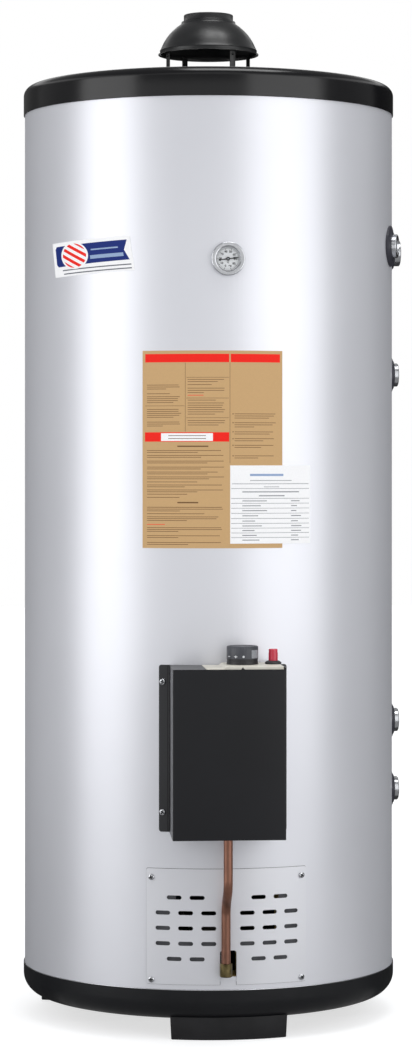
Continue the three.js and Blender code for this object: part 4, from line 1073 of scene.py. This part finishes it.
plate = rounded_panel(-plate_half, plate_half, plate_bottom, plate_top, 3, 0, plate_sheet)
notch = (notch_left, notch_right, plate_bottom - 20, plate_bottom + notch_height)
slot_tools = []
for row in range(slot_rows):
    short = 1 if row in (0, slot_rows - 1) else 0
    height = plate_top - slot_top_inset - row * slot_row_pitch
    for i in range(slots_per_half_row - short):
        angle = math.radians(slot_first_angle + (i + short / 2) * slot_step_angle)
        for side in (-1, 1):
            centre = side * angle * outer_face
            slot_tools.append(cutter(
                centre - slot_length / 2, centre + slot_length / 2, height - slot_height / 2,
                height + slot_height / 2, slot_height / 2 - 0.01))
slot_tools.append(cutter(*notch, 4))
plate = carved(plate, *slot_tools)
bent_round(plate, outer_face)
piece("burner_cover", plate, "plate_silver", "vent_plate", sharp=35)

# %% Painted shade behind the burner cover: a dark sheet and a dark rim
# A dark grey sheet fills the jacket's window behind the outer slots, where the jacket lies in shade:
# painted shade.
shade_radius = jacket_radius - 1.1
shade_thickness = 0.5
shade_margin = 0.2
shade_sheet = rounded_panel(-window_half + shade_margin, window_half - shade_margin,
                       window_bottom + shade_margin, window_top - shade_margin, 3, 0, shade_thickness)
shade_sheet = carved(shade_sheet, cutter(-opening_half, opening_half, opening_shoulder, opening_top, 6))
shade_sheet = carved(shade_sheet, cutter(-opening_neck_half, opening_neck_half, window_bottom - 20,
                               opening_shoulder + 3))
bent_round(shade_sheet, shade_radius)
piece("opening_painted_shade", shade_sheet, "shield_steel", slot="burner_steel")

# A thin black rim stands out round the plate's edge: painted shade of the gap between plate and jacket.
shade_rim_margin = 0.45
shade_rim_width = 5
shade_rim_thickness = 0.26
shade_rim = rounded_panel(-plate_half - shade_rim_margin, plate_half + shade_rim_margin,
                     plate_bottom - shade_rim_margin, plate_top + shade_rim_margin, 3.3, 0, shade_rim_thickness)
shade_rim = carved(shade_rim, cutter(shade_rim_width - plate_half, plate_half - shade_rim_width,
                           plate_bottom + shade_rim_width, plate_top - shade_rim_width, 2))
shade_rim = carved(shade_rim, cutter(notch_left + shade_rim_margin, notch_right - shade_rim_margin,
                           plate_bottom - 20, plate_bottom + 20))
bent_round(shade_rim, jacket_radius + 0.02)
piece("cover_shade_rim", shade_rim, "foot_black")

# %% [markdown]
# ## Screws
# Zinc pan-head screws with a cross recess hold the plate and the box. Each is spun, has its
# recess cut out and is laid at its place, turned a little further than the one before.

# %% Screws
screw_head = 4.8
screw_rise = 2.6
recess_length = 6.4
recess_width = 2.1
recess_depth = 1.8
first_screw_turn = 20
next_screw_turn = 37


def pan_screw():
    """Makes a screw that stands on Z, with its seat at zero."""
    profile = [(0, -4.5), (2, -4.5), (2, 0), (screw_head, 0), (screw_head, 1.1),
               (screw_head - 0.3, 1.75), (screw_head - 1, 2.25), (screw_head - 1.9, 2.5),
               (0, screw_rise)]
    body = spun(profile, 32, closed=False)
    floor = screw_rise - recess_depth
    half = recess_length / 2
    side = recess_width / 2
    across = block(-half, half, -side, side, floor, screw_rise + 1)
    along = block(-side, side, -half, half, floor, screw_rise + 1)
    body = carved(carved(body, across), along)
    # The faces inside the cross recess take the second, dark finish: painted shade.
    return inked(body, 1, lambda p: math.hypot(p.x, p.y) < half + 0.1 and floor - 0.1 < p.z < 2)


screw_nodes = [f"vent_screw_{i}" for i in range(1, 5)] + [f"cover_screw_{i}" for i in range(1, 5)]
for number, node in enumerate(screw_nodes):
    low, high = cad_size(node)
    middle = (low + high) / 2
    azimuth = math.degrees(math.atan2(middle.x, -middle.y))
    screw = turn(pan_screw(), math.radians(first_screw_turn + number * next_screw_turn))
    move(screw, z=outer_face + plate_sheet + sheet_gap)
    piece(node.replace("screw", "fixing"), outwards(screw, azimuth, middle.z),
          ["zinc_steel", "recess_painted_shade"], node)

# %% [markdown]
# ## Control box
# A folded sheet covers the gas valve: a flange on each side, two walls and the front. It starts
# as a line in plan that is pulled up to its height. Then the folds get their radius, the flanges
# their round corners and the sheet its thickness.

# %% Control box
box_low, box_high = cad_size("control_cover")
box_half = 85.3
box_front = jacket_radius + 107
box_sheet = 1.2
box_flange = 13
flange_steps = 5
wall_lean = 2.8
flap_end = -35.3
wall_rise = 3
front_bend = 2.5
flange_bend = 1.8
flange_corner = 4
wall_corner = 2.6
flap_bend = 1.6


def box_edges(bm, test):
    """Gives the edges whose two ends both pass a test on their place."""
    return [e for e in bm.edges if all(test(v.co) for v in e.verts)]


def upright(edges):
    """Keeps the edges that stand upright."""
    return [e for e in edges if abs(e.verts[0].co.z - e.verts[1].co.z) > 1]


def wall_top(bm, side):
    """Gives the upper edge of one wall, with side -1 for the left and 1 for the right."""
    top = box_high.z - 0.1
    found = box_edges(bm, lambda p: p.z > top and p.x * side > box_half - wall_lean - 3)
    return [max(found, key=lambda e: e.calc_length())]


def control_box():
    """Folds the box's sheet and stands it in its own frame, before it is turned."""
    outside = outer_face + box_sheet
    tip = math.asin((box_half + box_flange) / outside)
    fold_half = box_half - wall_lean
    fold = math.asin(fold_half / outside)
    flange = [tip + (fold - tip) * i / flange_steps for i in range(flange_steps + 1)]
    line = [(-outside * math.sin(a), -outside * math.cos(a)) for a in flange]
    line += [(-box_half, -box_front), (box_half, -box_front)]
    line += [(outside * math.sin(a), -outside * math.cos(a)) for a in reversed(flange)]
    bm = bmesh.new()
    points = [bm.verts.new((x, y, box_low.z)) for x, y in line]
    edges = [bm.edges.new(pair) for pair in zip(points, points[1:])]
    pulled(bm, edges, (0, 0, box_high.z - box_low.z))
    front = box_edges(bm, lambda p: abs(p.y + box_front) < 0.1 and abs(abs(p.x) - box_half) < 0.1)
    bevelled(bm, upright(front), front_bend, 5)
    folds = box_edges(bm, lambda p: abs(abs(p.x) - fold_half) < 0.1 and p.y > -outside - 0.1)
    bevelled(bm, upright(folds), flange_bend, 4)
    tips = [v for v in bm.verts if abs(v.co.x) > box_half + box_flange - 1]
    bevelled(bm, tips, flange_corner, 5, "VERTICES")
    raised, _ = pulled(bm, wall_top(bm, 1), (0, 0, wall_rise))
    bevelled(bm, [min(raised, key=lambda v: v.co.y)], wall_corner, 5, "VERTICES")
    left = wall_top(bm, -1)
    pulled(bm, left, (flap_end + box_half, 0, 0))
    bevelled(bm, left, flap_bend, 4)
    # The flanges take the second, lighter black: painted light.
    return inked(faced_out(bm), 1, lambda p: abs(p.x) > box_half)


box = turn(control_box(), box_azimuth)
cover = piece("control_box", box, ["cover_black", "flange_painted_light"], "control_cover", sharp=60)
rims = bmesh.new()
rims.from_mesh(cover.data)
for edge in rims.edges:
    if edge.is_boundary:
        edge.smooth = False
rims.to_mesh(cover.data)
rims.free()
thickness = cover.modifiers.new("sheet", "SOLIDIFY")
thickness.thickness = box_sheet * MM
thickness.offset = -1

# %% [markdown]
# ## Valve's moulded top, knob and igniter
# The cream moulding shows above the box as a low step. The knob turns on its stem and is marked on
# its side, and the pointer on the moulding says which mark counts. The marks are plain shapes. A
# round well in the moulding is black inside, and a black ring sits under the knob: both are painted
# shade in the gap between knob and moulding.

# %% Moulded top
knob_low, knob_high = cad_size("thermostat_knob")
knob_centre = (knob_low + knob_high) / 2
stem_hole = 5.7
well_radius = 24.4
well_depth = 4.8
top_low, top_high = cad_size("valve_top_cover")
moulding_left = -34
moulding_right = 82
moulding_step = -4
moulding_step_end = -8
step_drop = 3.5
moulding_back = jacket_radius + 6
moulding_front = jacket_radius + 107 - box_sheet - 3
moulding_line = [
    (moulding_left, top_low.z), (moulding_right, top_low.z), (moulding_right, top_high.z),
    (moulding_step, top_high.z), (moulding_step_end, top_high.z - step_drop),
    (moulding_left, top_high.z - step_drop),
]
moulding = eased(slab(moulding_line, moulding_front, moulding_back), 1.2, 4)
pointer_x = 20.3
pointer_line = [(pointer_x - 3, top_high.z - 4.9), (pointer_x + 3, top_high.z - 4.9),
                (pointer_x, top_high.z - 1.2)]
pointer = slab(pointer_line, moulding_front, moulding_front + 0.08, 1)
well = move(rod(well_radius, top_high.z - well_depth, top_high.z + 5, 96), knob_centre.x,
            knob_centre.y)
hole = move(rod(stem_hole, top_low.z - 5, top_high.z + 5), knob_centre.x, knob_centre.y)
moulding = carved(carved(turn(moulding, box_azimuth), well), hole)
# The faces inside the well take the black finish: painted shade under the knob.
inked(moulding, 1, lambda p: math.hypot(p.x - knob_centre.x, p.y - knob_centre.y)
      < well_radius + 0.1 and top_low.z < p.z < top_high.z - 0.5)
moulding = joined(moulding, turn(pointer, box_azimuth))
piece("valve_moulding", moulding, ["valve_cream", "needle_black"], "valve_top_cover")

# %% Knob
knob_radius = 24
knob_bore = 5.4
grip_ribs = 36
grip_depth = 0.7
grip_height = 5.5
foot_band = 4.5
dish_depth = 0.8
facet_steps = 4


def filled(bm):
    """Closes every open loop of a mesh with a face."""
    bmesh.ops.holes_fill(bm, edges=[e for e in bm.edges if e.is_boundary], sides=0)
    return bm


def knob_body():
    """Builds the knob: a smooth skirt, a ribbed band above it and a shallow dished top."""
    bm = bmesh.new()
    core = knob_radius - grip_depth
    bmesh.ops.create_circle(bm, cap_ends=False, segments=grip_ribs * facet_steps, radius=core)
    move(bm, z=knob_low.z)
    edges = bm.edges[:]
    top = knob_high.z
    rings = [("smooth", knob_low.z + foot_band, 1), ("smooth", top - grip_height, 1),
             ("ribbed", top - grip_height + 0.6, 1), ("ribbed", top - 1.2, 1),
             ("top", top, 0.965), ("top", top, 0.88), ("top", top - dish_depth, 0.85),
             ("top", top - dish_depth, 0.3)]
    for kind, level, share in rings:
        ring, edges = pulled(bm, edges, (0, 0, 0))
        for vert in ring:
            angle = math.atan2(vert.co.y, vert.co.x)
            wave = 0.5 + 0.5 * math.cos(angle * grip_ribs)
            radius = core * share + grip_depth * {"smooth": 1, "ribbed": wave, "top": 0}[kind]
            vert.co = (radius * math.cos(angle), radius * math.sin(angle), level)
    bmesh.ops.holes_fill(bm, edges=edges, sides=0)
    filled(bm)
    bm = carved(faced_out(bm), rod(knob_bore, knob_low.z - 5, knob_high.z - 6, 32))
    return inked(bm, 2, lambda p: p.z < knob_low.z + foot_band
                 and math.hypot(p.x, p.y) > knob_radius - 2)


def side_mark(outline, angle, level, ink=1):
    """Lays a flat mark on the knob's side, at an angle from its front."""
    bm = bent_round(slab(outline, -0.1, 0.08, ink), knob_radius, 0.8)
    return move(turn(bm, math.radians(angle)), z=level)


def oval(half_width, half_height, steps, centre=(0, 0)):
    """Gives the outline of an oval."""
    angles = [FULL_TURN * i / steps for i in range(steps)]
    return [(centre[0] + half_width * math.cos(angle),
             centre[1] + half_height * math.sin(angle)) for angle in angles]


dash = band(-2.4, 2.4, -0.6, 0.6)
star = []
for i in range(8):
    star_angle = math.radians(45 * i)
    star_radius = 1 if i % 2 == 0 else 0.42
    star.append((3.6 * star_radius * math.cos(star_angle), 2.4 * star_radius * math.sin(star_angle)))
dot = oval(1.7, 1.7, 16)
mark_level = knob_low.z + 8
marks = [side_mark(dash, -63, mark_level), side_mark(star, -31, mark_level),
         side_mark(dot, -2, mark_level)]
marks.append(side_mark(band(-7.8, 7.8, 0, knob_high.z - grip_height - 0.3 - knob_low.z - 5.4),
                       48, knob_low.z + 5.4, 3))
knob = joined(knob_body(), *marks)
move(knob, knob_centre.x, knob_centre.y, 0)
piece("knob_cap", knob, ["knob_grey", "mark_white", "igniter_black", "mark_grey"],
      "thermostat_knob", body="knob", sharp=40)

# %% Black ring under the knob: painted shade
# This black ring between the knob and the moulding is painted shade of that gap.
gap_shade_radius = 23.8
gap_shade_bore = 20
gap_shade_foot = top_high.z + 0.25
gap_shade_top = knob_low.z + 0.5
skirt = spun([(gap_shade_bore, gap_shade_foot), (gap_shade_radius - 0.3, gap_shade_foot),
              (gap_shade_radius, gap_shade_foot + 0.3), (gap_shade_radius, gap_shade_top), (gap_shade_bore, gap_shade_top)], 96)
move(skirt, knob_centre.x, knob_centre.y)
piece("knob_gap_shade", skirt, "igniter_black", body="knob")

# %% Igniter collar and red button
button_low, button_high = cad_size("igniter_button")
button_centre = (button_low + button_high) / 2
collar_low, collar_high = cad_size("igniter_housing")
button_radius = 7.1
collar_radius_outer = 12.6
collar_foot = top_high.z + sheet_gap
collar_bore = button_radius + 0.4
collar_profile = [(0, collar_low.z), (9, collar_low.z), (9, collar_foot),
                  (collar_radius_outer, collar_foot), (collar_radius_outer, collar_foot + 2.2)]
collar_profile += [(collar_radius_outer - 2.6, collar_high.z - 0.6)]
collar_profile += arc(collar_bore + 0.8, collar_high.z - 0.8, 0.8, 90, 180, 4)
collar_profile += [(collar_bore, collar_foot - 20), (0, collar_foot - 20)]
collar = spun(collar_profile, 64, closed=False)
move(collar, button_centre.x, button_centre.y)
piece("igniter_collar", collar, "igniter_black", "igniter_housing")

button_profile = [(0, button_low.z), (button_radius, button_low.z)]
button_profile += [(button_radius, button_high.z - 6), (button_radius - 0.35, button_high.z - 5.6),
                   (button_radius - 0.35, button_high.z - 1.2)]
button_profile += arc(button_radius - 1.55, button_high.z - 1.2, 1.2, 0, 90, 5)
button_profile += [(2, button_high.z - 0.3), (0, button_high.z - 0.35)]
button = spun(button_profile, 64, closed=False)
move(button, button_centre.x, button_centre.y)
piece("red_button", button, "button_red", "igniter_button", body="button")

# %% [markdown]
# ## Gas pipe
# The copper tube is bent by hand: straight down, a soft step in towards the jacket and down again.
# Spinning the last ring about a point beside it makes a bend with a true radius, and extruding
# makes the straight runs.

# %% Gas pipe
pipe_low, pipe_high = cad_size("burner_gas_pipe")
pipe_radius = 7
pipe_x = (pipe_low.x + pipe_high.x) / 2
pipe_front_y = pipe_low.y + pipe_radius
pipe_back_y = pipe_high.y - pipe_radius
jog_top, jog_bottom = 238, 209
jog_soft = 14
jog_angle = math.atan2(pipe_back_y - pipe_front_y, jog_top - jog_bottom)
bend_radius = jog_soft / math.tan(jog_angle / 2)
pipe_steps = 14


def bent(bm, ring, centre, angle):
    """Spins the last ring of a tube about a point and gives the new ring's edges."""
    last = spin(bm, ring, angle, pipe_steps, centre=centre, axis=(1, 0, 0))
    return [part for part in last if isinstance(part, bmesh.types.BMEdge)]


tube = bmesh.new()
bmesh.ops.create_circle(tube, cap_ends=False, segments=36, radius=pipe_radius)
move(tube, pipe_x, pipe_front_y, pipe_high.z)
ring = pulled(tube, tube.edges[:], (0, 0, jog_top + jog_soft - pipe_high.z))[1]
ring = bent(tube, ring, (pipe_x, pipe_front_y + bend_radius, jog_top + jog_soft), jog_angle)
slope = math.hypot(pipe_back_y - pipe_front_y, jog_top - jog_bottom) - 2 * jog_soft
ring = pulled(tube, ring, (0, slope * math.sin(jog_angle), -slope * math.cos(jog_angle)))[1]
ring = bent(tube, ring, (pipe_x, pipe_back_y - bend_radius, jog_bottom - jog_soft), -jog_angle)
pulled(tube, ring, (0, 0, pipe_low.z - (jog_bottom - jog_soft)))
bmesh.ops.remove_doubles(tube, verts=tube.verts, dist=0.001)
piece("gas_pipe", faced_out(filled(tube)), "pipe_copper", "burner_gas_pipe", sharp=60)

# %% Elbow at its foot
elbow_low, elbow_high = cad_size("burner_elbow")
elbow_radius = 9.5
elbow_leg_radius = 6.8
elbow_level = elbow_low.z + 6.5
cup_profile = [(0, elbow_low.z), (elbow_radius - 2, elbow_low.z)]
cup_profile += arc(elbow_radius - 2, elbow_low.z + 2, 2, -90, 0, 5)
cup_profile += [(elbow_radius, elbow_high.z - 5), (elbow_radius + 0.001, elbow_high.z - 0.8),
                (elbow_radius - 0.8, elbow_high.z), (pipe_radius + 0.3, elbow_high.z),
                (pipe_radius + 0.3, elbow_low.z + 13.6), (0, elbow_low.z + 13.6)]
cup = move(spun(cup_profile, 48, closed=False), pipe_x, pipe_back_y)
leg_start = -elbow_high.y
leg_end = -pipe_back_y
leg = move(outwards(rod(elbow_leg_radius, leg_start, leg_end, 32)), x=pipe_x, z=elbow_level)
piece("elbow_fitting", joined(cup, leg), "brass_fitting", "burner_elbow")

# %% [markdown]
# ## Paper sheets
# Three papers are stuck to the jacket: a kraft instruction sheet with coloured bands, a white
# form, and a small sticker. Thin rules of uneven length stand for their lines.
# A flat sheet is scored where the ink changes, the faces between the scores take their ink, and
# the sheet is bent round the tank. The score across a line stays inside its own row.

# %% Paper helpers
paper_thickness = 0.2
line_ends = random.Random(3)


def scored(bm, place, way, faces):
    """Cuts some faces of a mesh by a plane."""
    edges = {edge for face in faces for edge in face.edges}
    verts = {vert for face in faces for vert in face.verts}
    bmesh.ops.bisect_plane(bm, geom=[*faces, *edges, *verts], dist=0.0001, plane_co=place,
                           plane_no=way)


def scored_sheet(left, right, bottom, top, areas):
    """Makes a flat sheet and colours the rectangles (left, right, bottom, top, ink number)."""
    bm = rounded_panel(left, right, bottom, top, 0, 0, paper_thickness)
    for height in sorted({edge for area in areas for edge in area[2:4]}):
        scored(bm, (0, 0, height), (0, 0, 1), bm.faces[:])
    for low_x, high_x, low_z, high_z, number in areas:
        for side in (low_x, high_x):
            row = [f for f in bm.faces if low_z < f.calc_center_median().z < high_z]
            scored(bm, (side, 0, 0), (1, 0, 0), row)
        for face in bm.faces:
            centre = face.calc_center_median()
            if low_x < centre.x < high_x and low_z < centre.z < high_z and abs(face.normal.y) > 0.5:
                face.material_index = number
    return bm


def stuck_on(bm, shift, turned=0.0, height=0.0, lift=sheet_gap / 2):
    """Tilts a flat sheet, bends it round the jacket and turns it to its place along the arc."""
    turn(bm, turned, "Y")
    bent_round(bm, jacket_radius + lift, 6)
    turn(bm, shift / jacket_radius)
    return move(bm, z=height)


def paragraphs(left, right, top, drops, pitch, half, ink):
    """Gives lines of uneven length: each drop from the sheet's top starts a number of lines."""
    lines = []
    for drop, count in drops:
        for i in range(count):
            middle = top - drop - i * pitch
            share = line_ends.uniform(0.4, 0.85) if i == count - 1 else line_ends.uniform(0.9, 1)
            lines.append((left, left + (right - left) * share, middle - half, middle + half, ink))
    return lines


# %% Kraft instruction sheet
kraft_left, kraft_right = -133.2, 86.3
kraft_bottom, kraft_top = 755.2, 1057.7
column_one, column_two = -65.6, 2.9
rule_half = 0.3
line_half = 0.42
band_one = (1039.8, 1052.6)
band_two = (918.3, 932.6)
inks = [(-128.8, 1.7, *band_one, 1), (4.1, 82.3, *band_one, 1), (-129.3, 1.7, *band_two, 1),
        (-103.4, -23.3, 919.4, 931.2, 3)]
inks += [(-92, -34, height - 0.5, height + 0.5, 2) for height in (927.5, 923)]
inks += [(column_two - rule_half, column_two + rule_half, 885, 1039.8, 2),
         (column_one - rule_half, column_one + rule_half, 934, 1039, 2)]
inks += paragraphs(-126, -72, kraft_top, [(52.7, 3), (66, 1), (70.6, 4), (90, 5), (109.4, 3)], 3,
                   line_half, 2)
inks += paragraphs(-62, -4, kraft_top, [(44.2, 2), (52.2, 1), (57.6, 3), (75.9, 1), (80.3, 6),
                                        (107.2, 3)], 3.4, line_half, 2)
inks += paragraphs(-62, -20, kraft_top, [(68.4, 1)], 3, line_half, 1)
inks += paragraphs(10, 76, kraft_top, [(96.9, 3), (110.5, 3), (124.5, 2), (134.9, 2), (145, 2),
                                       (161.2, 2)], 3.2, line_half, 2)
inks += paragraphs(-126, -6, kraft_top, [(153, 2), (160.5, 2), (169.2, 2), (178.4, 2), (186, 2),
                                         (193.5, 2), (201.1, 1), (205.8, 2), (213.4, 2),
                                         (219.9, 1), (224.8, 1)], 2.8, line_half, 2)
inks += [(-77.9, -45.8, 824, 826, 2), (-77.9, -30.3, 910.2, 912.2, 2)]
inks += [(-129, -67, 972.8, 973.4, 2)]
inks += [(-64, 1, height - rule_half, height + rule_half, 2) for height in (1016.7, 985, 954.8)]
inks += [(6.8, 8.4, kraft_top - drop - 0.8, kraft_top - drop + 0.8, 2)
         for drop in (96.9, 110.5, 124.5, 134.9, 145, 161.2)]
inks += paragraphs(-126, -8, kraft_top, [(239.9, 3), (249.8, 1), (254.6, 3), (271.2, 3),
                                         (283.5, 2), (293.9, 2)], 2.8, line_half, 2)
inks += paragraphs(-126, -90, kraft_top, [(266.2, 1)], 3, line_half, 1)
kraft = scored_sheet(kraft_left, kraft_right, kraft_bottom, kraft_top, inks)
stuck_on(kraft, 0)
piece("instruction_sheet", kraft, ["paper_kraft", "ink_red", "ink_brown", "paper_white"], slot=None,
      sharp=40)

# %% White form
form_left, form_right = 3.2, 135
form_bottom, form_top = 762.1, 881.9
row_lines = [846.4, 831.3, 823.8, 816.3, 808.5, 800.5, 793, 785.8, 778.5, 771.3]
row_drops = [(form_top - line + 3.8, 1) for line in row_lines[1:]]
form_inks = [(form_left + 1.5, form_right - 2, line - 0.32, line + 0.32, 1) for line in row_lines]
form_inks += paragraphs(22, 68, form_top, row_drops, 3, 0.6, 1)
form_inks += paragraphs(101, 123, form_top, row_drops, 3, 0.6, 1)
form_inks += [(34, 88, 865.5, 869, 2)]
form_inks += [(34, 102, 858.3, 859.1, 1), (6, 132, 853.3, 854.1, 1), (56, 81, 848.6, 849.4, 1)]
form_inks += [(22, 115, 840.6, 842, 1), (48, 90, 834.6, 836, 1)]
form = scored_sheet(form_left, form_right, form_bottom, form_top, form_inks)
stuck_on(form, 0, lift=sheet_gap / 2 + paper_thickness * 1.2)
piece("white_form", form, ["paper_white", "ink_grey", "ink_pale_blue"], slot=None, sharp=40)

# %% [markdown]
# The sticker carries a ribbon with a swallow tail and a striped disc. Each print is a thin closed
# slab on the one below it, so that the order of the inks is real. The stripes are cut from the
# disc's own outline.

# %% Sticker
sticker_half_width = 81
sticker_half_height = 27
sticker_place = -231.5
sticker_height = 1205.8
sticker_tilt = math.radians(-2.2)
sticker_lean = 0.128
ink_level = 0.05
disc_place = (-29.9, 4)
ring_size = (30.3, 21.2)
disc_size = (26.4, 19)
disc_steps = 40
stripe_count = 5
sticker = rounded_panel(-sticker_half_width, sticker_half_width, -sticker_half_height,
                        sticker_half_height, 1, 0, paper_thickness, 3)


def print_layer(outline, layer, ink):
    """Lays a printed shape on the sticker, with layers counted from the paper."""
    foot = paper_thickness + layer * ink_level - 0.01
    return slab(outline, foot, foot + ink_level, ink)


def stripe(number):
    """Cuts a slanted stripe out of the disc."""
    bm = print_layer(oval(*disc_size, disc_steps, disc_place), 2, 4)
    slant = Vector((0.5, 0, 1)).normalized()
    pitch = disc_size[1] * 2.4 / (stripe_count * 2 - 1)
    middle = Vector((disc_place[0], 0, disc_place[1]))
    for side in (-0.5, 0.5):
        offset = (number - (stripe_count - 1) / 2) * 2 + side
        bmesh.ops.bisect_plane(bm, geom=[*bm.verts, *bm.edges, *bm.faces], dist=0.0001,
                               plane_co=middle + slant * offset * pitch, plane_no=slant,
                               clear_outer=side > 0, clear_inner=side < 0)
        filled(bm)
    return inked(bm, 4)


ribbon = [(-73.8, -7), (-70, -11.3), (75.3, -10), (68, 5.5), (75.3, 21), (-70, 21), (-73.8, 17)]
layers = [
    print_layer(ribbon, 0, 1),
    print_layer(oval(*ring_size, disc_steps, disc_place), 1, 0),
    *[stripe(number) for number in range(stripe_count)],
    print_layer(band(-60, 77, -18.2, -16.4), 0, 3),
    print_layer(band(-58, 77, -24, -22.2), 0, 3),
    print_layer(band(7, 58, 9.2, 11.4), 1, 2),
    print_layer(band(4, 66, -4, 1.6), 1, 2),
]
sticker = joined(sticker, *layers)
lean = Matrix.Identity(3)
lean[0][2] = -sticker_lean
bmesh.ops.transform(sticker, matrix=lean.to_4x4(), verts=sticker.verts)
stuck_on(sticker, sticker_place, sticker_tilt, sticker_height)
piece("round_sticker", sticker, ["paper_white", "ink_blue", "ink_pale_blue", "ink_grey", "ink_red"],
      slot=None, sharp=40)

# %% [markdown]
# ## Finishes of the carried-over nodes
# The tank, the foam, the burner and the valve keep their CAD shapes. Each takes the finish of the
# real thing, because a curious eye looks in through the slots, the hood and from below.

# %% Finishes of the CAD nodes
carried_over = {
    "tank_enamel": ["tank_shell", "tank_top_head", "tank_bottom_head"],
    "flue_steel": ["flue_baffle"],
    "insulation_foam": ["foam_insulation"],
    "zinc_steel": ["anode_cap"],
    "magnesium": ["anode_rod"],
    "valve_aluminium": ["gas_valve_body"],
    "brass_fitting": ["pipe_nut", "gas_inlet_fitting", "thermometer_pocket"],
    "pipe_copper": ["temperature_probe", "thermocouple"],
    "igniter_black": ["knob_stem"],
    "burner_steel": ["burner", "burner_bracket", "pilot_burner"],
}
for look, names in carried_over.items():
    for name in names:
        node_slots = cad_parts[name].data.materials
        node_slots.clear()
        node_slots.append(finishes[look])
print("carried over", sorted(sum(carried_over.values(), [])))

# %% Size of the finished model
low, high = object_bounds()
